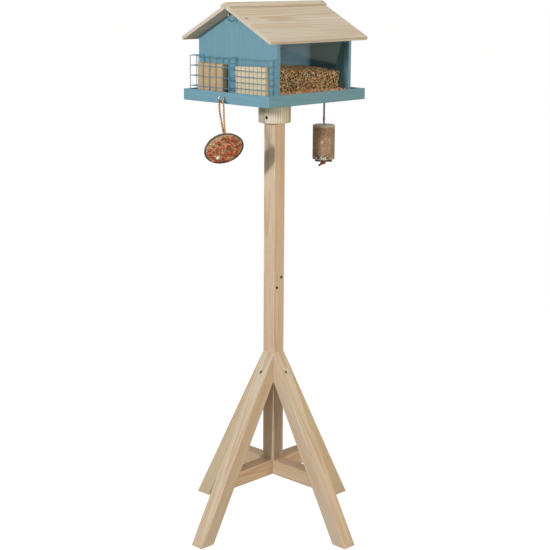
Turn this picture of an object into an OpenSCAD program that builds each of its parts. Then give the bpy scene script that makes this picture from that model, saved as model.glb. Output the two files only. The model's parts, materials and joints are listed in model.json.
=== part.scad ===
// Bird feeder: a wooden seed house on a tray, carried by a jointed square post on four splayed legs.
// All sizes are in millimetres. +Z is up, the ridge runs along X and the seed openings face -Y and +Y.
// The origin is on the ground, under the middle of the post.
// Left is -X, right is +X, front is -Y and back is +Y.

/* [Post] */
// Side of the square post
post_w = 40; // [34:1:48]
// Height of the joint between the lower and the upper post
joint_z = 708; // [620:1:800]
// Side of the tenon on the upper post
tenon_w = 25; // [20:1:27]
// Length of the tenon
tenon_l = 50; // [44:1:70]
// Chamfer along the edges of posts, legs and cross beams
bar_chamfer = 1.2; // [0.5:0.1:3]

/* [Legs and cross] */
// Side of the square legs
leg_w = 40; // [32:1:42]
// Lean of the legs from the vertical, in degrees
leg_lean = 29; // [24:0.5:33]
// Height at which the outer face of a leg meets the post
leg_top_z = 488; // [440:1:540]
// Distance of the leg screws under the top of the legs
leg_screw_drop = 52; // [43:1:63]
// Height of the underside of the crossed beams
cross_z = 139; // [110:1:170]
// Height of a crossed beam
cross_h = 40; // [30:1:48]
// Width of a crossed beam
cross_w = 40; // [30:1:42]
// Diameter of the dowels between the beams and the legs
dowel_d = 8; // [6:0.5:10]
// Length of the dowels
dowel_l = 40; // [30:1:50]

/* [Collar] */
// Diameter of the round collar under the tray
collar_d = 86; // [80:1:96]
// Height of the collar
collar_h = 60; // [48:1:80]
// Height of the screws above the collar's lower end
collar_screw_z = 16; // [12:1:30]

/* [Tray] */
// Height of the underside of the tray above the ground
tray_z = 1174; // [1100:1:1250]
// Length of the tray along the ridge, over the rims
tray_x = 360; // [350:1:390]
// Width of the tray over the rims
tray_y = 313; // [309:1:340]
// Thickness of the tray floor
floor_t = 10; // [8:0.5:12]
// Height of the rims
rim_h = 29; // [26:0.5:38]
// Thickness of the rims
rim_t = 10; // [9:0.5:11]

/* [House] */
// Length of the house over its gable walls
house_x = 275; // [250:1:277]
// Width of the gable walls
house_y = 286; // [270:1:288]
// Thickness of the gable walls
wall_t = 10; // [9:0.5:12]
// Height of the gable walls at the ridge
gable_h = 227; // [215:1:240]
// Thickness of the divider board along the middle
divider_t = 10; // [8:0.5:12]
// Height of the divider board, which leaves a way over it to the back bay
divider_h = 150; // [130:1:170]
// Depth of the housings for the ends of the divider
housing_d = 3; // [2:0.5:4]
// Thickness of the clear panes
pane_t = 3; // [2:0.25:4]
// Outward lean of the panes, in degrees
pane_lean = 9; // [5:0.5:11]
// Distance of a pane's outer face from the middle, at its foot
pane_foot_y = 111; // [100:1:114]
// Gap under a pane, above the tray floor
pane_gap = 16; // [12:0.5:19]
// Slanting height of a pane
pane_h = 134; // [110:1:138]
// Depth of the grooves that hold the panes
groove_d = 4; // [3:0.5:5]
// Height of the seed at the divider, above the tray floor
seed_top = 78; // [60:1:95]
// Height of the seed at the pane, above the tray floor
seed_low = 66; // [50:1:75]

/* [Roof] */
// Slope of the roof, in degrees
pitch = 27.5; // [25:0.5:30]
// Length of the roof along the ridge
roof_x = 360; // [340:1:400]
// Length of a roof panel down the slope
roof_l = 184; // [176:1:200]
// Thickness of a roof panel
roof_t = 9; // [8:0.5:12]
// Width of each leg of the ridge cap
cap_leg = 17; // [15:0.5:24]
// Thickness of the ridge cap
cap_t = 5; // [4:0.25:6]
// Distance of the hinges from the middle of the ridge
hinge_x = 110; // [80:1:130]
// Width of a hinge along the ridge
hinge_w = 30; // [26:1:40]
// Width of a hinge leaf
leaf_w = 14; // [12:0.5:15]
// Thickness of a hinge leaf
leaf_t = 1; // [0.8:0.1:1.2]
// Diameter of a hinge pin
hinge_pin_d = 2; // [1.6:0.1:2.4]

/* [Cages] */
// Depth of each suet cage, from the wall
cage_d = 30; // [28.5:0.5:32]
// Height of each suet cage
cage_h = 106; // [98:1:112]
// Cells across the coarse mesh
coarse_n = 6; // [5:1:7]
// Cells up the coarse mesh
coarse_m = 4; // [3:1:5]
// Wire diameter of the coarse mesh
coarse_wire = 2; // [1.6:0.1:2.4]
// Cells across the fine mesh
fine_n = 10; // [8:1:11]
// Cells up the fine mesh
fine_m = 7; // [6:1:8]
// Wire diameter of the fine mesh
fine_wire = 1.6; // [1.2:0.1:2]
// Width of the suet block in the coarse cage
block_a_w = 97; // [80:1:110]
// Height of the suet block in the coarse cage
block_a_h = 88; // [70:1:95]
// Thickness of the suet block in the coarse cage
block_a_t = 16.5; // [12:0.5:25.5]
// Gap between the coarse cage's block and the wall
block_a_gap = 9.3; // [0.3:0.5:9.3]
// Distance of the coarse cage's block from the middle of the wall
block_a_y = 74; // [60:0.5:80]
// Width of the suet block in the fine cage
block_b_w = 108; // [90:1:110]
// Height of the suet block in the fine cage
block_b_h = 84; // [70:1:95]
// Thickness of the suet block in the fine cage
block_b_t = 15; // [10:0.5:24]
// Distance of the fine cage's block from the middle of the wall
block_b_y = 63.5; // [62:0.5:74]
// Angle by which the fine cage's block stands askew, on its inner corner, in degrees
block_b_tilt = 2; // [0:0.5:3]

/* [Hooks] */
// Wire diameter of the hooks
hook_wire = 2.6; // [2:0.1:3]
// Radius of the rim hooks, to the middle of the wire
rim_hook_r = 8.5; // [7.5:0.25:10]
// Distance of a rim hook's middle from the rim
rim_hook_reach = 13.5; // [12:0.5:18]
// Radius of the gable hook, to the middle of the wire
gable_hook_r = 12.5; // [10:0.5:14]
// Distance of the gable hook's middle from the gable wall
gable_hook_reach = 18; // [16:0.5:26]
// Depth of the gable hook's middle under the peak of the gable wall
gable_hook_drop = 19.5; // [17:0.5:30]

/* [Treats] */
// Radius of the coconut shell's rim
coco_r = 52.5; // [48:0.5:58]
// Depth of the coconut shell
coco_depth = 30; // [26:0.5:40]
// Thickness of the coconut shell
coco_t = 3; // [2.5:0.25:4]
// Direction in which the open face looks, in degrees round from +X
coco_turn = 243.5; // [225:0.5:260]
// Angle by which the open face looks down, in degrees
coco_tilt = 35.5; // [30:0.5:45]
// Diameter of the fat log
log_d = 60; // [50:1:70]
// Height of the fat log
log_h = 96; // [80:1:96]
// Diameter of the hole through the fat log
log_bore = 9; // [7:0.5:12]
// Diameter of the twig under the fat log
twig_d = 6.5; // [5:0.5:9]
// Length of the twig
twig_l = 46; // [40:1:56]

/* [Hidden] */
$fn = 32;

// Clearances
slip = 0.3;         // between pieces that move against each other
fit = 0.2;          // round a tenon, a dowel or a post in its hole
weld = 0.1;         // between the flat panels of a cage
pin_gap = 0.05;     // round a hinge pin or a screw
over = 1;           // by which a cutter runs past a face
edge = 1;           // chamfer on thin boards

// Heights of the stand
cross_top = cross_z + cross_h;
leg_screw_z = leg_top_z - leg_screw_drop;
lap_z = cross_z + cross_h / 2;
post_screw_in = 16;                 // depth of a leg screw in the post
collar_z = tray_z - collar_h;

// Tray and house
floor_top = tray_z + floor_t;
in_x = tray_x / 2 - rim_t;          // half the clear length inside the rims
in_y = tray_y / 2 - rim_t;          // half the clear width inside the rims
wall_in = house_x / 2 - wall_t;     // half the clear length between the gable walls
peak_z = floor_top + gable_h;       // underside of the roof at the ridge
gable_low = gable_h - house_y / 2 * tan(pitch);

// Roof
roof_z = peak_z + roof_t / cos(pitch);          // top of the panels at the ridge
barrel_r = (cap_t + slip + leaf_t) / 2;         // the hinge barrel spans the step from panel to cap
barrel_y = cap_leg + slip + barrel_r;           // distance of the barrel from the ridge, down the slope
knuckle_w = (hinge_w - 2 * slip) / 3;
hinge_at = [barrel_y * cos(pitch) + barrel_r * sin(pitch), barrel_r * cos(pitch) - barrel_y * sin(pitch)];
roof_gap = norm(hinge_at) - hinge_at[0] + slip; // lets the front panel swing past the back one's corner

// Suet cages: together they fill the tray between its side rims
cage_w = in_y - 3 * slip;
cage_y = cage_w / 2 + 2 * slip;     // distance of a cage's middle from the middle of the wall
cage_x = -house_x / 2;              // outer face of the gable wall that carries the cages
tab_gap = 0.3;                      // between the back wires and the wall
screw_head_r = 4;
screw_r = 2;

// Hooks, at the middle of the wire under the ring
rim_hook_z = tray_z + rim_h / 2;
left_eye = [-tray_x / 2 - rim_hook_reach, 0, rim_hook_z - rim_hook_r];
right_eye = [tray_x / 2 + rim_hook_reach, 0, rim_hook_z - rim_hook_r];

// Treats, from the eyes
coco_centre = [-3, -12.5, -117.5];      // middle of the coconut's rim, from the left eye
coco_ball_r = (coco_r * coco_r + coco_depth * coco_depth) / (2 * coco_depth);
coco_hole = [2, -9];                // where the twine enters the shell, from the left eye
coco_hole_d = 12;
coco_end = coco_centre[2] + 22;     // bottom of that hole, in the fat
log_top = -87;                      // top of the fat log, from the right eye
twig_turn = -45;
coco_twine_d = 4;
log_twine_d = 2.4;
knot_z = -75;                       // knot under the bight of the log's twine, from the right eye
// Route of the coconut's twine, from the left eye: up one side, over the hook and down the other
coco_route = [[2, -6, coco_end + fit], [2, -6, coco_end + 9], [1.5, -5.5, -76], [1, -3, -64], [0.5, 0, -50],
    [0, 4, -34], [0, 6.5, -20], [0, 7, -8], [0, 5.5, 0], [0, 3, 3], [0, 0, 3.8], [0, -3, 3], [0, -6.5, 0],
    [0, -8.5, -8], [0, -9, -20], [0.5, -9, -34], [1, -9.5, -50], [1.5, -10.5, -66], [2, -11.5, -76],
    [2, -12, coco_end + 9], [2, -12, coco_end + fit]];
// Route of the log's twine, from the right eye: a closed bight over the hook, then down the bore
log_route = [[0, 1.5, -66], [0, 1.5, -58], [0, 1.5, -44], [0, 1.6, -26], [0, 2.8, -12], [0, 3.4, -4],
    [0, 2.6, 1.2], [0, 0, 3], [0, -2.6, 1.2], [0, -3.4, -4], [0, -2.8, -12], [0, -1.6, -26], [0, -1.5, -44],
    [0, -1.5, -58], [0, -1.2, -66], [0, 0, knot_z + 4], [0, 0, knot_z - 4], [0, 0, log_top],
    [0, 0, log_top - log_h / 4], [0, 0, log_top - log_h / 2], [0, 0, log_top - log_h * 3 / 4],
    [0, 0, log_top - log_h - fit]];

// Points of a smooth curve through a list of points, with a few steps between each pair
function at(p, i) = p[max(0, min(len(p) - 1, i))];
function spline(a, b, c, d, t) = 0.5 * (2 * b + (c - a) * t + (2 * a - 5 * b + 4 * c - d) * t * t
    + (3 * b - a - 3 * c + d) * t * t * t);
function smooth(p, steps) = [for (i = [0:len(p) - 2], k = [0:steps - 1])
    spline(at(p, i - 1), at(p, i), at(p, i + 1), at(p, i + 2), k / steps), p[len(p) - 1]];
function unit(v) = v / norm(v);
function heading(p, i) = unit(at(p, i + 1) - at(p, i - 1));
function ring_at(p, i, r, sides) = let(
    t = heading(p, i),
    u = unit(cross(t, [1, 0, 0])),
    w = cross(t, u))
    [for (k = [0:sides - 1]) p[i] + r * (cos(360 * k / sides) * u + sin(360 * k / sides) * w)];

// Round tube along a list of points
module tube(p, d, sides = 8) {
    n = len(p);
    pts = [for (i = [0:n - 1]) each ring_at(p, i, d / 2, sides)];
    walls = [for (i = [0:n - 2], k = [0:sides - 1]) let(a = i * sides + k, b = i * sides + (k + 1) % sides)
        each [[a, b, b + sides], [a, b + sides, a + sides]]];
    first = [for (k = [1:sides - 2]) [0, k + 1, k]];
    last = [for (k = [1:sides - 2]) [(n - 1) * sides, (n - 1) * sides + k, (n - 1) * sides + k + 1]];
    polyhedron(points = pts, faces = concat(walls, first, last));
}

// Rectangle a by b with its corners cut off by c
module cut_rect(a, b, c) {
    x = a / 2;
    y = b / 2;
    polygon([[-x + c, -y], [x - c, -y], [x, -y + c], [x, y - c], [x - c, y], [-x + c, y], [-x, y - c], [-x, -y + c]]);
}

// Bar of length l along +Z
module bar(a, b, l, c = bar_chamfer) {
    linear_extrude(l) cut_rect(a, b, c);
}

// Bar of length l along X, centred, standing on z = 0
module board(l, a, h, c = edge) {
    translate([-l / 2, 0, h / 2]) rotate([90, 0, 90]) bar(a, h, l, c);
}

// Countersunk wood screw along -Z with its head flush at z = 0
module screw(l, r = screw_r, head = screw_head_r) {
    point = 1.5 * r;
    translate([0, 0, -head + r]) cylinder(h = head - r, r1 = r, r2 = head);
    translate([0, 0, -l + point]) cylinder(h = l - point - head + r, r = r);
    translate([0, 0, -l]) cylinder(h = point, r1 = 0.3, r2 = r);
}

// Hole for a screw, open above the head
module screw_hole(l, r = screw_r, head = screw_head_r, sink = over) {
    gap = pin_gap;
    translate([0, 0, -head + r - gap]) cylinder(h = head - r + gap, r1 = r + gap, r2 = head + gap);
    cylinder(h = sink, r = head + gap);
    translate([0, 0, -l - gap]) cylinder(h = l, r = r + gap);
}

// Open cup hook: the shank lies on the X axis and enters the wood at x = 0 towards +X
module cup_hook(ring_r, reach, bite = 9) {
    r = hook_wire / 2;
    gap_from = 50;
    translate([-reach, 0, 0]) rotate([90, 0, 0]) rotate([0, 0, 180 - gap_from])
        rotate_extrude(angle = 180 + gap_from, $fn = 48) translate([ring_r, 0]) circle(r, $fn = 24);
    translate([-reach, 0, 0]) rotate([90, 0, 0]) rotate([0, 0, 180 - gap_from]) translate([ring_r, 0, 0])
        sphere(r, $fn = 24);
    translate([-reach + ring_r, 0, 0]) sphere(r, $fn = 24);
    translate([-reach + ring_r, 0, 0]) rotate([0, 90, 0]) cylinder(h = reach - ring_r + bite, r = r, $fn = 24);
    translate([-1.2, 0, 0]) rotate([0, 90, 0]) cylinder(h = 1.2, r = 2.6 * r, $fn = 24);
}

module hook_hole(bite = 9) {
    translate([-over, 0, 0]) rotate([0, 90, 0]) cylinder(h = bite + over + fit, r = hook_wire / 2 + pin_gap);
}

// Places of repeated things
module each_leg() {
    for (a = [0:90:270]) rotate([0, 0, a]) children();
}

module mirrored_y() {
    children();
    mirror([0, 1, 0]) children();
}

module mirrored_x() {
    children();
    mirror([1, 0, 0]) children();
}

// Puts +Y down the back slope and +Z square to it, from the top of the panels at the ridge
module on_back_slope() {
    translate([0, 0, roof_z]) rotate([-pitch, 0, 0]) children();
}

// Stand

// Distance from the middle to a leg's outer face at height z
function leg_out(z) = post_w / 2 + (leg_top_z - z) * tan(leg_lean);
function leg_in(z) = leg_out(z) - leg_w / cos(leg_lean);

// One leg on the +X face of the post, with its top cut to the post and its foot cut level
module leg_bar() {
    reach = leg_top_z / cos(leg_lean);
    intersection() {
        translate([post_w / 2 - leg_w / 2 / cos(leg_lean), 0, leg_top_z]) rotate([0, 180 - leg_lean, 0])
            translate([0, 0, -leg_w]) bar(leg_w, leg_w, reach + 3 * leg_w);
        translate([post_w / 2, -leg_w, 0]) cube([reach, 2 * leg_w, leg_top_z + leg_w]);
    }
}

module leg_screw_at(extra = 0) {
    sink = 6;
    translate([leg_out(leg_screw_z) - sink, 0, leg_screw_z]) rotate([0, 90, 0]) children();
}

function leg_screw_l() = leg_out(leg_screw_z) - 6 - post_w / 2 + post_screw_in;

module dowel_bar(gap = 0) {
    x = leg_in(lap_z);
    translate([x - dowel_l / 2 - gap, 0, lap_z]) rotate([0, 90, 0])
        cylinder(h = dowel_l + 2 * gap, d = dowel_d + 2 * gap);
}

module leg() {
    color("burlywood") difference() {
        leg_bar();
        leg_screw_at() screw_hole(leg_screw_l(), sink = 30);
        dowel_bar(fit);
    }
}

module leg_right() { leg(); }
module leg_back() { rotate([0, 0, 90]) leg(); }
module leg_left() { rotate([0, 0, 180]) leg(); }
module leg_front() { rotate([0, 0, 270]) leg(); }

module leg_screws() {
    color("dimgray") each_leg() leg_screw_at() screw(leg_screw_l());
}

module leg_dowels() {
    color("tan") each_leg() dowel_bar();
}

// Beam along X with ends cut to the inner faces of the legs; side is +1 for a notch above, -1 below
module cross_beam(side) {
    long = leg_in(cross_z) + cross_h;
    color("burlywood") difference() {
        translate([0, 0, cross_z]) board(2 * long, cross_w, cross_h, bar_chamfer);
        for (a = [0, 180]) rotate([0, 0, a]) {
            translate([leg_in(lap_z), 0, lap_z]) rotate([0, -leg_lean, 0])
                translate([0, -cross_w, -2 * cross_h]) cube([4 * cross_h, 2 * cross_w, 4 * cross_h]);
            dowel_bar(fit);
        }
        translate([-cross_w / 2 - fit / 2, -cross_w, side > 0 ? lap_z : cross_z - over])
            cube([cross_w + fit, 2 * cross_w, cross_h / 2 + over]);
        centre_screw_place() screw_hole(centre_screw_l, 2.5, 6);
    }
}

centre_screw_l = cross_h + 45;
module centre_screw_place() {
    translate([0, 0, cross_z]) mirror([0, 0, 1]) children();
}

module cross_beam_x() { cross_beam(1); }
module cross_beam_y() { rotate([0, 0, 90]) cross_beam(-1); }

module centre_screw() {
    color("dimgray") centre_screw_place() screw(centre_screw_l, 2.5, 6);
}

// Screws through the front face of the lower post into the tenon, one up to the right, one down to the left
joint_screw_l = 25;
module joint_screw_places() {
    dx = tenon_w / 3;
    for (s = [[dx, 12], [-dx, 39]])
        translate([s[0], -post_w / 2, joint_z - s[1]]) rotate([90, 0, 0]) children();
}

module lower_post() {
    color("burlywood") difference() {
        translate([0, 0, cross_top]) bar(post_w, post_w, joint_z - cross_top);
        translate([0, 0, joint_z - tenon_l - 2]) translate([-tenon_w / 2 - fit, -tenon_w / 2 - fit, 0])
            cube([tenon_w + 2 * fit, tenon_w + 2 * fit, tenon_l + 2 + over]);
        each_leg() leg_screw_at() screw_hole(leg_screw_l());
        joint_screw_places() screw_hole(joint_screw_l, 2, 4);
        centre_screw_place() screw_hole(centre_screw_l, 2.5, 6);
    }
}

module upper_post() {
    color("burlywood") difference() {
        union() {
            translate([0, 0, joint_z]) bar(post_w, post_w, tray_z - joint_z);
            translate([-tenon_w / 2, -tenon_w / 2, joint_z - tenon_l]) cube([tenon_w, tenon_w, tenon_l + over]);
        }
        joint_screw_places() screw_hole(joint_screw_l, 2, 4);
        collar_screw_places() screw_hole(collar_screw_l);
    }
}

module joint_screws() {
    color("dimgray") joint_screw_places() screw(joint_screw_l, 2, 4);
}

// Collar

collar_screw_l = collar_d / 2 - post_w / 2 + 8;
collar_screw_turn = 195;
module collar_screw_places() {
    for (a = [0, 180]) rotate([0, 0, collar_screw_turn + a])
        translate([collar_d / 2 - 0.3, 0, collar_z + collar_screw_z]) rotate([0, 90, 0]) children();
}

tray_screw_r = collar_d / 2 - 7;
tray_screw_l = floor_t + 25;
module tray_screw_places() {
    for (a = [45:90:315]) rotate([0, 0, a]) translate([tray_screw_r, 0, floor_top]) children();
}

module collar() {
    r = collar_d / 2;
    c = 1.5;
    color("wheat") difference() {
        translate([0, 0, collar_z]) rotate_extrude($fn = 96)
            polygon([[0, 0], [r - c, 0], [r, c], [r, collar_h], [0, collar_h]]);
        translate([-post_w / 2 - fit, -post_w / 2 - fit, collar_z - over])
            cube([post_w + 2 * fit, post_w + 2 * fit, collar_h + 2 * over]);
        collar_screw_places() screw_hole(collar_screw_l);
        tray_screw_places() screw_hole(tray_screw_l);
    }
}

module collar_screws() {
    color("dimgray") collar_screw_places() screw(collar_screw_l);
}

// Tray

module tray_floor() {
    color("cadetblue") difference() {
        translate([-in_x, -in_y, tray_z]) cube([2 * in_x, 2 * in_y, floor_t]);
        tray_screw_places() screw_hole(tray_screw_l);
        house_screw_places() screw_hole(house_screw_l);
    }
}

module tray_screws() {
    color("dimgray") tray_screw_places() screw(tray_screw_l);
}

// Rim across the end of the tray, with a hole for its hook
module end_rim() {
    color("cadetblue") difference() {
        translate([-tray_x / 2 + rim_t / 2, 0, tray_z]) rotate([0, 0, 90]) board(tray_y, rim_t, rim_h);
        translate([-tray_x / 2, 0, rim_hook_z]) hook_hole();
    }
}

module side_rim() {
    color("cadetblue") translate([0, -tray_y / 2 + rim_t / 2, tray_z]) board(2 * in_x, rim_t, rim_h);
}

module rim_left() { end_rim(); }
module rim_right() { mirror([1, 0, 0]) end_rim(); }
module rim_front() { side_rim(); }
module rim_back() { mirror([0, 1, 0]) side_rim(); }

// House

// Screws from under the floor into the gable walls and the divider
house_screw_l = floor_t + 20;
module house_screw_places() {
    for (x = [-1, 1], y = [-1, 1]) translate([x * (house_x / 2 - wall_t / 2), y * house_y / 3, tray_z])
        rotate([180, 0, 0]) children();
    for (x = [-1, 1]) translate([x * wall_in * 2 / 3, 0, tray_z]) rotate([180, 0, 0]) children();
}

// Space swept by the front pane, grown by a clearance
module pane_slab(long, gap, up = 0) {
    translate([-long / 2, -pane_foot_y, floor_top + pane_gap]) rotate([pane_lean, 0, 0])
        translate([0, -gap, -gap]) cube([long, pane_t + 2 * gap, pane_h + gap + up]);
}

// Gable wall at +X; its front slope lies a little lower, to clear the lifting panel
module gable() {
    h = house_y / 2;
    drop = slip / cos(pitch);
    color("cadetblue") difference() {
        translate([wall_in, 0, floor_top]) rotate([90, 0, 90]) linear_extrude(wall_t)
            polygon([[-h, 0], [h, 0], [h, gable_low], [0, gable_h], [0, gable_h - drop], [-h, gable_low - drop]]);
        mirrored_y() pane_slab(2 * (wall_in + groove_d), fit, 60);
        translate([0, -divider_t / 2 - fit, floor_top - over])
            cube([wall_in + housing_d, divider_t + 2 * fit, divider_h + fit + over]);
        house_screw_places() screw_hole(house_screw_l);
        roof_screw_places() screw_hole(roof_screw_l);
    }
}

module gable_right() { gable(); }
module gable_left() {
    difference() {
        mirror([1, 0, 0]) gable();
        color("cadetblue") translate([-house_x / 2, 0, peak_z - gable_hook_drop]) hook_hole();
        color("cadetblue") staples(pin_gap);
    }
}

module divider() {
    color("cadetblue") difference() {
        translate([0, 0, floor_top]) board(2 * (wall_in + housing_d - fit), divider_t, divider_h);
        house_screw_places() screw_hole(house_screw_l);
    }
}

module house_screws() {
    color("dimgray") house_screw_places() screw(house_screw_l);
}

module pane() {
    color("lightcyan", 0.4) pane_slab(2 * (wall_in + groove_d - slip), 0);
}

module pane_front() { pane(); }
module pane_back() { mirror([0, 1, 0]) pane(); }

// Seed behind the pane, under it and out to the rim
function pane_in_y(z) = -pane_foot_y + pane_t / cos(pane_lean) - (z - pane_gap) * tan(pane_lean) + slip;
function pane_out_y(z) = -pane_foot_y - (z - pane_gap) * tan(pane_lean) - slip;
module seed() {
    mid = (divider_t / 2 + pane_foot_y) / 2;
    spill = rim_h - floor_t + 2;
    color("peru") translate([-wall_in + slip, 0, floor_top]) rotate([90, 0, 90])
        linear_extrude(2 * (wall_in - slip)) polygon([
            [-divider_t / 2 - slip, 0], [-divider_t / 2 - slip, seed_top], [-mid, (2 * seed_top + seed_low) / 3],
            [pane_in_y(seed_low), seed_low], [pane_in_y(pane_gap), pane_gap - slip],
            [pane_out_y(pane_gap), pane_gap - slip], [pane_out_y(spill), spill],
            [-in_y + slip, rim_h - floor_t - 1], [-in_y + slip, 0]]);
}

module seed_front() { seed(); }
module seed_back() { mirror([0, 1, 0]) seed(); }

// Roof

roof_screw_l = 30;
module roof_screw_places() {
    for (x = [-1, 1], y = [roof_l / 4, roof_l * 0.62]) on_back_slope()
        translate([x * (house_x / 2 - wall_t / 2), y, 0]) children();
}

leaf_screw_r = 1.2;
leaf_screw_head = 2.4;
leaf_screw_x = hinge_w / 2 - 6;
back_leaf_screw_l = 8;
cap_leaf_screw_l = cap_t + leaf_t - 0.6;
module back_leaf_screw_places() {
    for (h = [-1, 1], x = [-1, 1]) on_back_slope()
        translate([h * hinge_x + x * leaf_screw_x, barrel_y + barrel_r + leaf_w / 2 - 0.5, leaf_t]) children();
}
module cap_leaf_screw_places() {
    for (h = [-1, 1], x = [-1, 1]) on_back_slope()
        translate([h * hinge_x + x * leaf_screw_x, barrel_y - barrel_r - leaf_w / 2 + 0.5, 2 * barrel_r]) children();
}

// Panel on the back slope, with its upper edge cut upright at the ridge
module roof_panel() {
    c = roof_t / cos(pitch);
    translate([-roof_x / 2, 0, roof_z]) rotate([90, 0, 90]) linear_extrude(roof_x)
        polygon([[0, 0], [roof_l * cos(pitch), -roof_l * sin(pitch)],
            [roof_l * cos(pitch) - roof_t * sin(pitch), -roof_l * sin(pitch) - roof_t * cos(pitch)], [0, -c]]);
}

module roof_back() {
    color("wheat") difference() {
        roof_panel();
        roof_screw_places() screw_hole(roof_screw_l);
        back_leaf_screw_places() screw_hole(back_leaf_screw_l, leaf_screw_r, leaf_screw_head);
    }
}

module roof_front() {
    color("wheat") difference() {
        mirror([0, 1, 0]) roof_panel();
        translate([-roof_x, -roof_gap, peak_z - roof_t]) cube([2 * roof_x, 2 * roof_t, 4 * roof_t]);
    }
}

module roof_screws() {
    color("dimgray") roof_screw_places() screw(roof_screw_l);
}

// Angled cap: seated on the front panel, just clear of the back panel
module ridge_cap() {
    s = sin(pitch);
    k = cos(pitch);
    lift = slip / k;
    mid = lift / (2 * tan(pitch));
    color("wheat") difference() {
        translate([-roof_x / 2, 0, roof_z]) rotate([90, 0, 90]) linear_extrude(roof_x) polygon([
            [-cap_leg * k, -cap_leg * s], [mid, mid * tan(pitch)], [cap_leg * k + slip * s, -cap_leg * s + slip * k],
            [cap_leg * k + (slip + cap_t) * s, -cap_leg * s + (slip + cap_t) * k],
            [mid, cap_t / k + mid * tan(pitch)], [-cap_leg * k - cap_t * s, -cap_leg * s + cap_t * k]]);
        cap_leaf_screw_places() screw_hole(cap_leaf_screw_l, leaf_screw_r, leaf_screw_head);
    }
}

// Hinge in the frame of the back slope: the barrel steps up from the panel to the cap
module knuckle(i) {
    translate([-hinge_w / 2 + i * (knuckle_w + slip), barrel_y, barrel_r]) rotate([0, 90, 0]) children();
}

module knuckle_block(i, leaf_z, toward) {
    y = toward > 0 ? barrel_y : barrel_y - barrel_r - slip - over;
    knuckle(i) cylinder(h = knuckle_w, r = barrel_r);
    translate([-hinge_w / 2 + i * (knuckle_w + slip), y, leaf_z]) cube([knuckle_w, barrel_r + slip + over, leaf_t]);
}

module pin_bore() {
    translate([-hinge_w, barrel_y, barrel_r]) rotate([0, 90, 0])
        cylinder(h = 2 * hinge_w, r = hinge_pin_d / 2 + pin_gap);
}

module hinge_leaves_back() {
    color("goldenrod") difference() {
        for (h = [-1, 1]) on_back_slope() translate([h * hinge_x, 0, 0]) difference() {
            union() {
                translate([-hinge_w / 2, barrel_y + barrel_r + slip, 0]) cube([hinge_w, leaf_w - slip, leaf_t]);
                knuckle_block(0, 0, 1);
                knuckle_block(2, 0, 1);
            }
            pin_bore();
        }
        back_leaf_screw_places() screw_hole(back_leaf_screw_l, leaf_screw_r, leaf_screw_head);
    }
}

module hinge_leaves_cap() {
    z = 2 * barrel_r - leaf_t;
    color("goldenrod") difference() {
        for (h = [-1, 1]) on_back_slope() translate([h * hinge_x, 0, 0]) difference() {
            union() {
                translate([-hinge_w / 2, barrel_y - barrel_r - leaf_w, z]) cube([hinge_w, leaf_w - slip, leaf_t]);
                knuckle_block(1, z, -1);
            }
            pin_bore();
        }
        cap_leaf_screw_places() screw_hole(cap_leaf_screw_l, leaf_screw_r, leaf_screw_head);
    }
}

module hinge_pins() {
    color("silver") for (h = [-1, 1]) on_back_slope() translate([h * hinge_x, barrel_y, barrel_r]) {
        translate([-hinge_w / 2, 0, 0]) rotate([0, 90, 0]) cylinder(h = hinge_w, d = hinge_pin_d);
        for (e = [-1, 1]) translate([e * (hinge_w / 2 + 0.4), 0, 0]) rotate([0, 90, 0])
            cylinder(h = 0.8, d = hinge_pin_d * 1.7, center = true);
    }
}

module leaf_screws_back() {
    color("silver") back_leaf_screw_places() screw(back_leaf_screw_l, leaf_screw_r, leaf_screw_head);
}

module leaf_screws_cap() {
    color("silver") cap_leaf_screw_places() screw(cap_leaf_screw_l, leaf_screw_r, leaf_screw_head);
}

// Hooks

module gable_hook() {
    color("silver") translate([-house_x / 2, 0, peak_z - gable_hook_drop]) cup_hook(gable_hook_r, gable_hook_reach);
}

module hook_left() {
    color("silver") translate([-tray_x / 2, 0, rim_hook_z]) cup_hook(rim_hook_r, rim_hook_reach);
}

module hook_right() {
    color("silver") translate([tray_x / 2, 0, rim_hook_z]) mirror([1, 0, 0]) cup_hook(rim_hook_r, rim_hook_reach);
}

// Suet cages, each a strip of welded mesh bent round the corners. Its outer end stands past the edge of
// the wall, and one cell is turned in along the wall there

module wire(p, q, d) {
    v = q - p;
    turn = v[0] != 0 ? [0, 90, 0] : v[1] != 0 ? [-90, 0, 0] : [0, 0, 0];
    translate(p) rotate(turn) cylinder(h = norm(v), d = d, $fn = 8);
}

function rail_z(m, d, j) = d / 2 + j * (cage_h - d) / m;

// Flat mesh in the YZ plane from y0 to y1, with its uprights outside the rails by most of a wire
module mesh_yz(y0, y1, uprights, m, d) {
    for (y = uprights) wire([0, y, d / 2], [0, y, cage_h], d);
    for (j = [0:m]) wire([d * 0.8, y0, rail_z(m, d, j)], [d * 0.8, y1, rail_z(m, d, j)], d);
}

// side is +1 for the coarse cage on the back half of the wall, -1 for the fine cage on the front half
module cage_place(side) {
    translate([cage_x, side * cage_y, floor_top]) children();
}

module cage_front(n, m, d) {
    w = cage_w - d;
    translate([-cage_d + d / 2, 0, 0]) mesh_yz(-w / 2 + d / 2 + weld, w / 2 - d / 2 - weld,
        [for (i = [1:n - 1]) -w / 2 + i * w / n], m, d);
}

module cage_end(n, m, d) {
    w = cage_w - d;
    x0 = -cage_d + d / 2;
    x1 = -tab_gap - d / 2;
    for (e = [-1, 1]) {
        for (x = [x0, x1]) wire([x, e * w / 2, 0], [x, e * w / 2, cage_h], d);
        for (j = [0:m]) wire([x0, e * w / 2, rail_z(m, d, j)], [x1, e * w / 2, rail_z(m, d, j)], d);
    }
}

// One cell along the wall at the outer end, with its rails against the wall
module cage_tab(side, n, m, d) {
    w = cage_w - d;
    a = side * (w / 2 - d / 2 - weld);
    b = side * (w / 2 - w / n);
    translate([-tab_gap - d * 1.3, 0, 0]) mesh_yz(min(a, b), max(a, b), [b], m, d);
}

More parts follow.
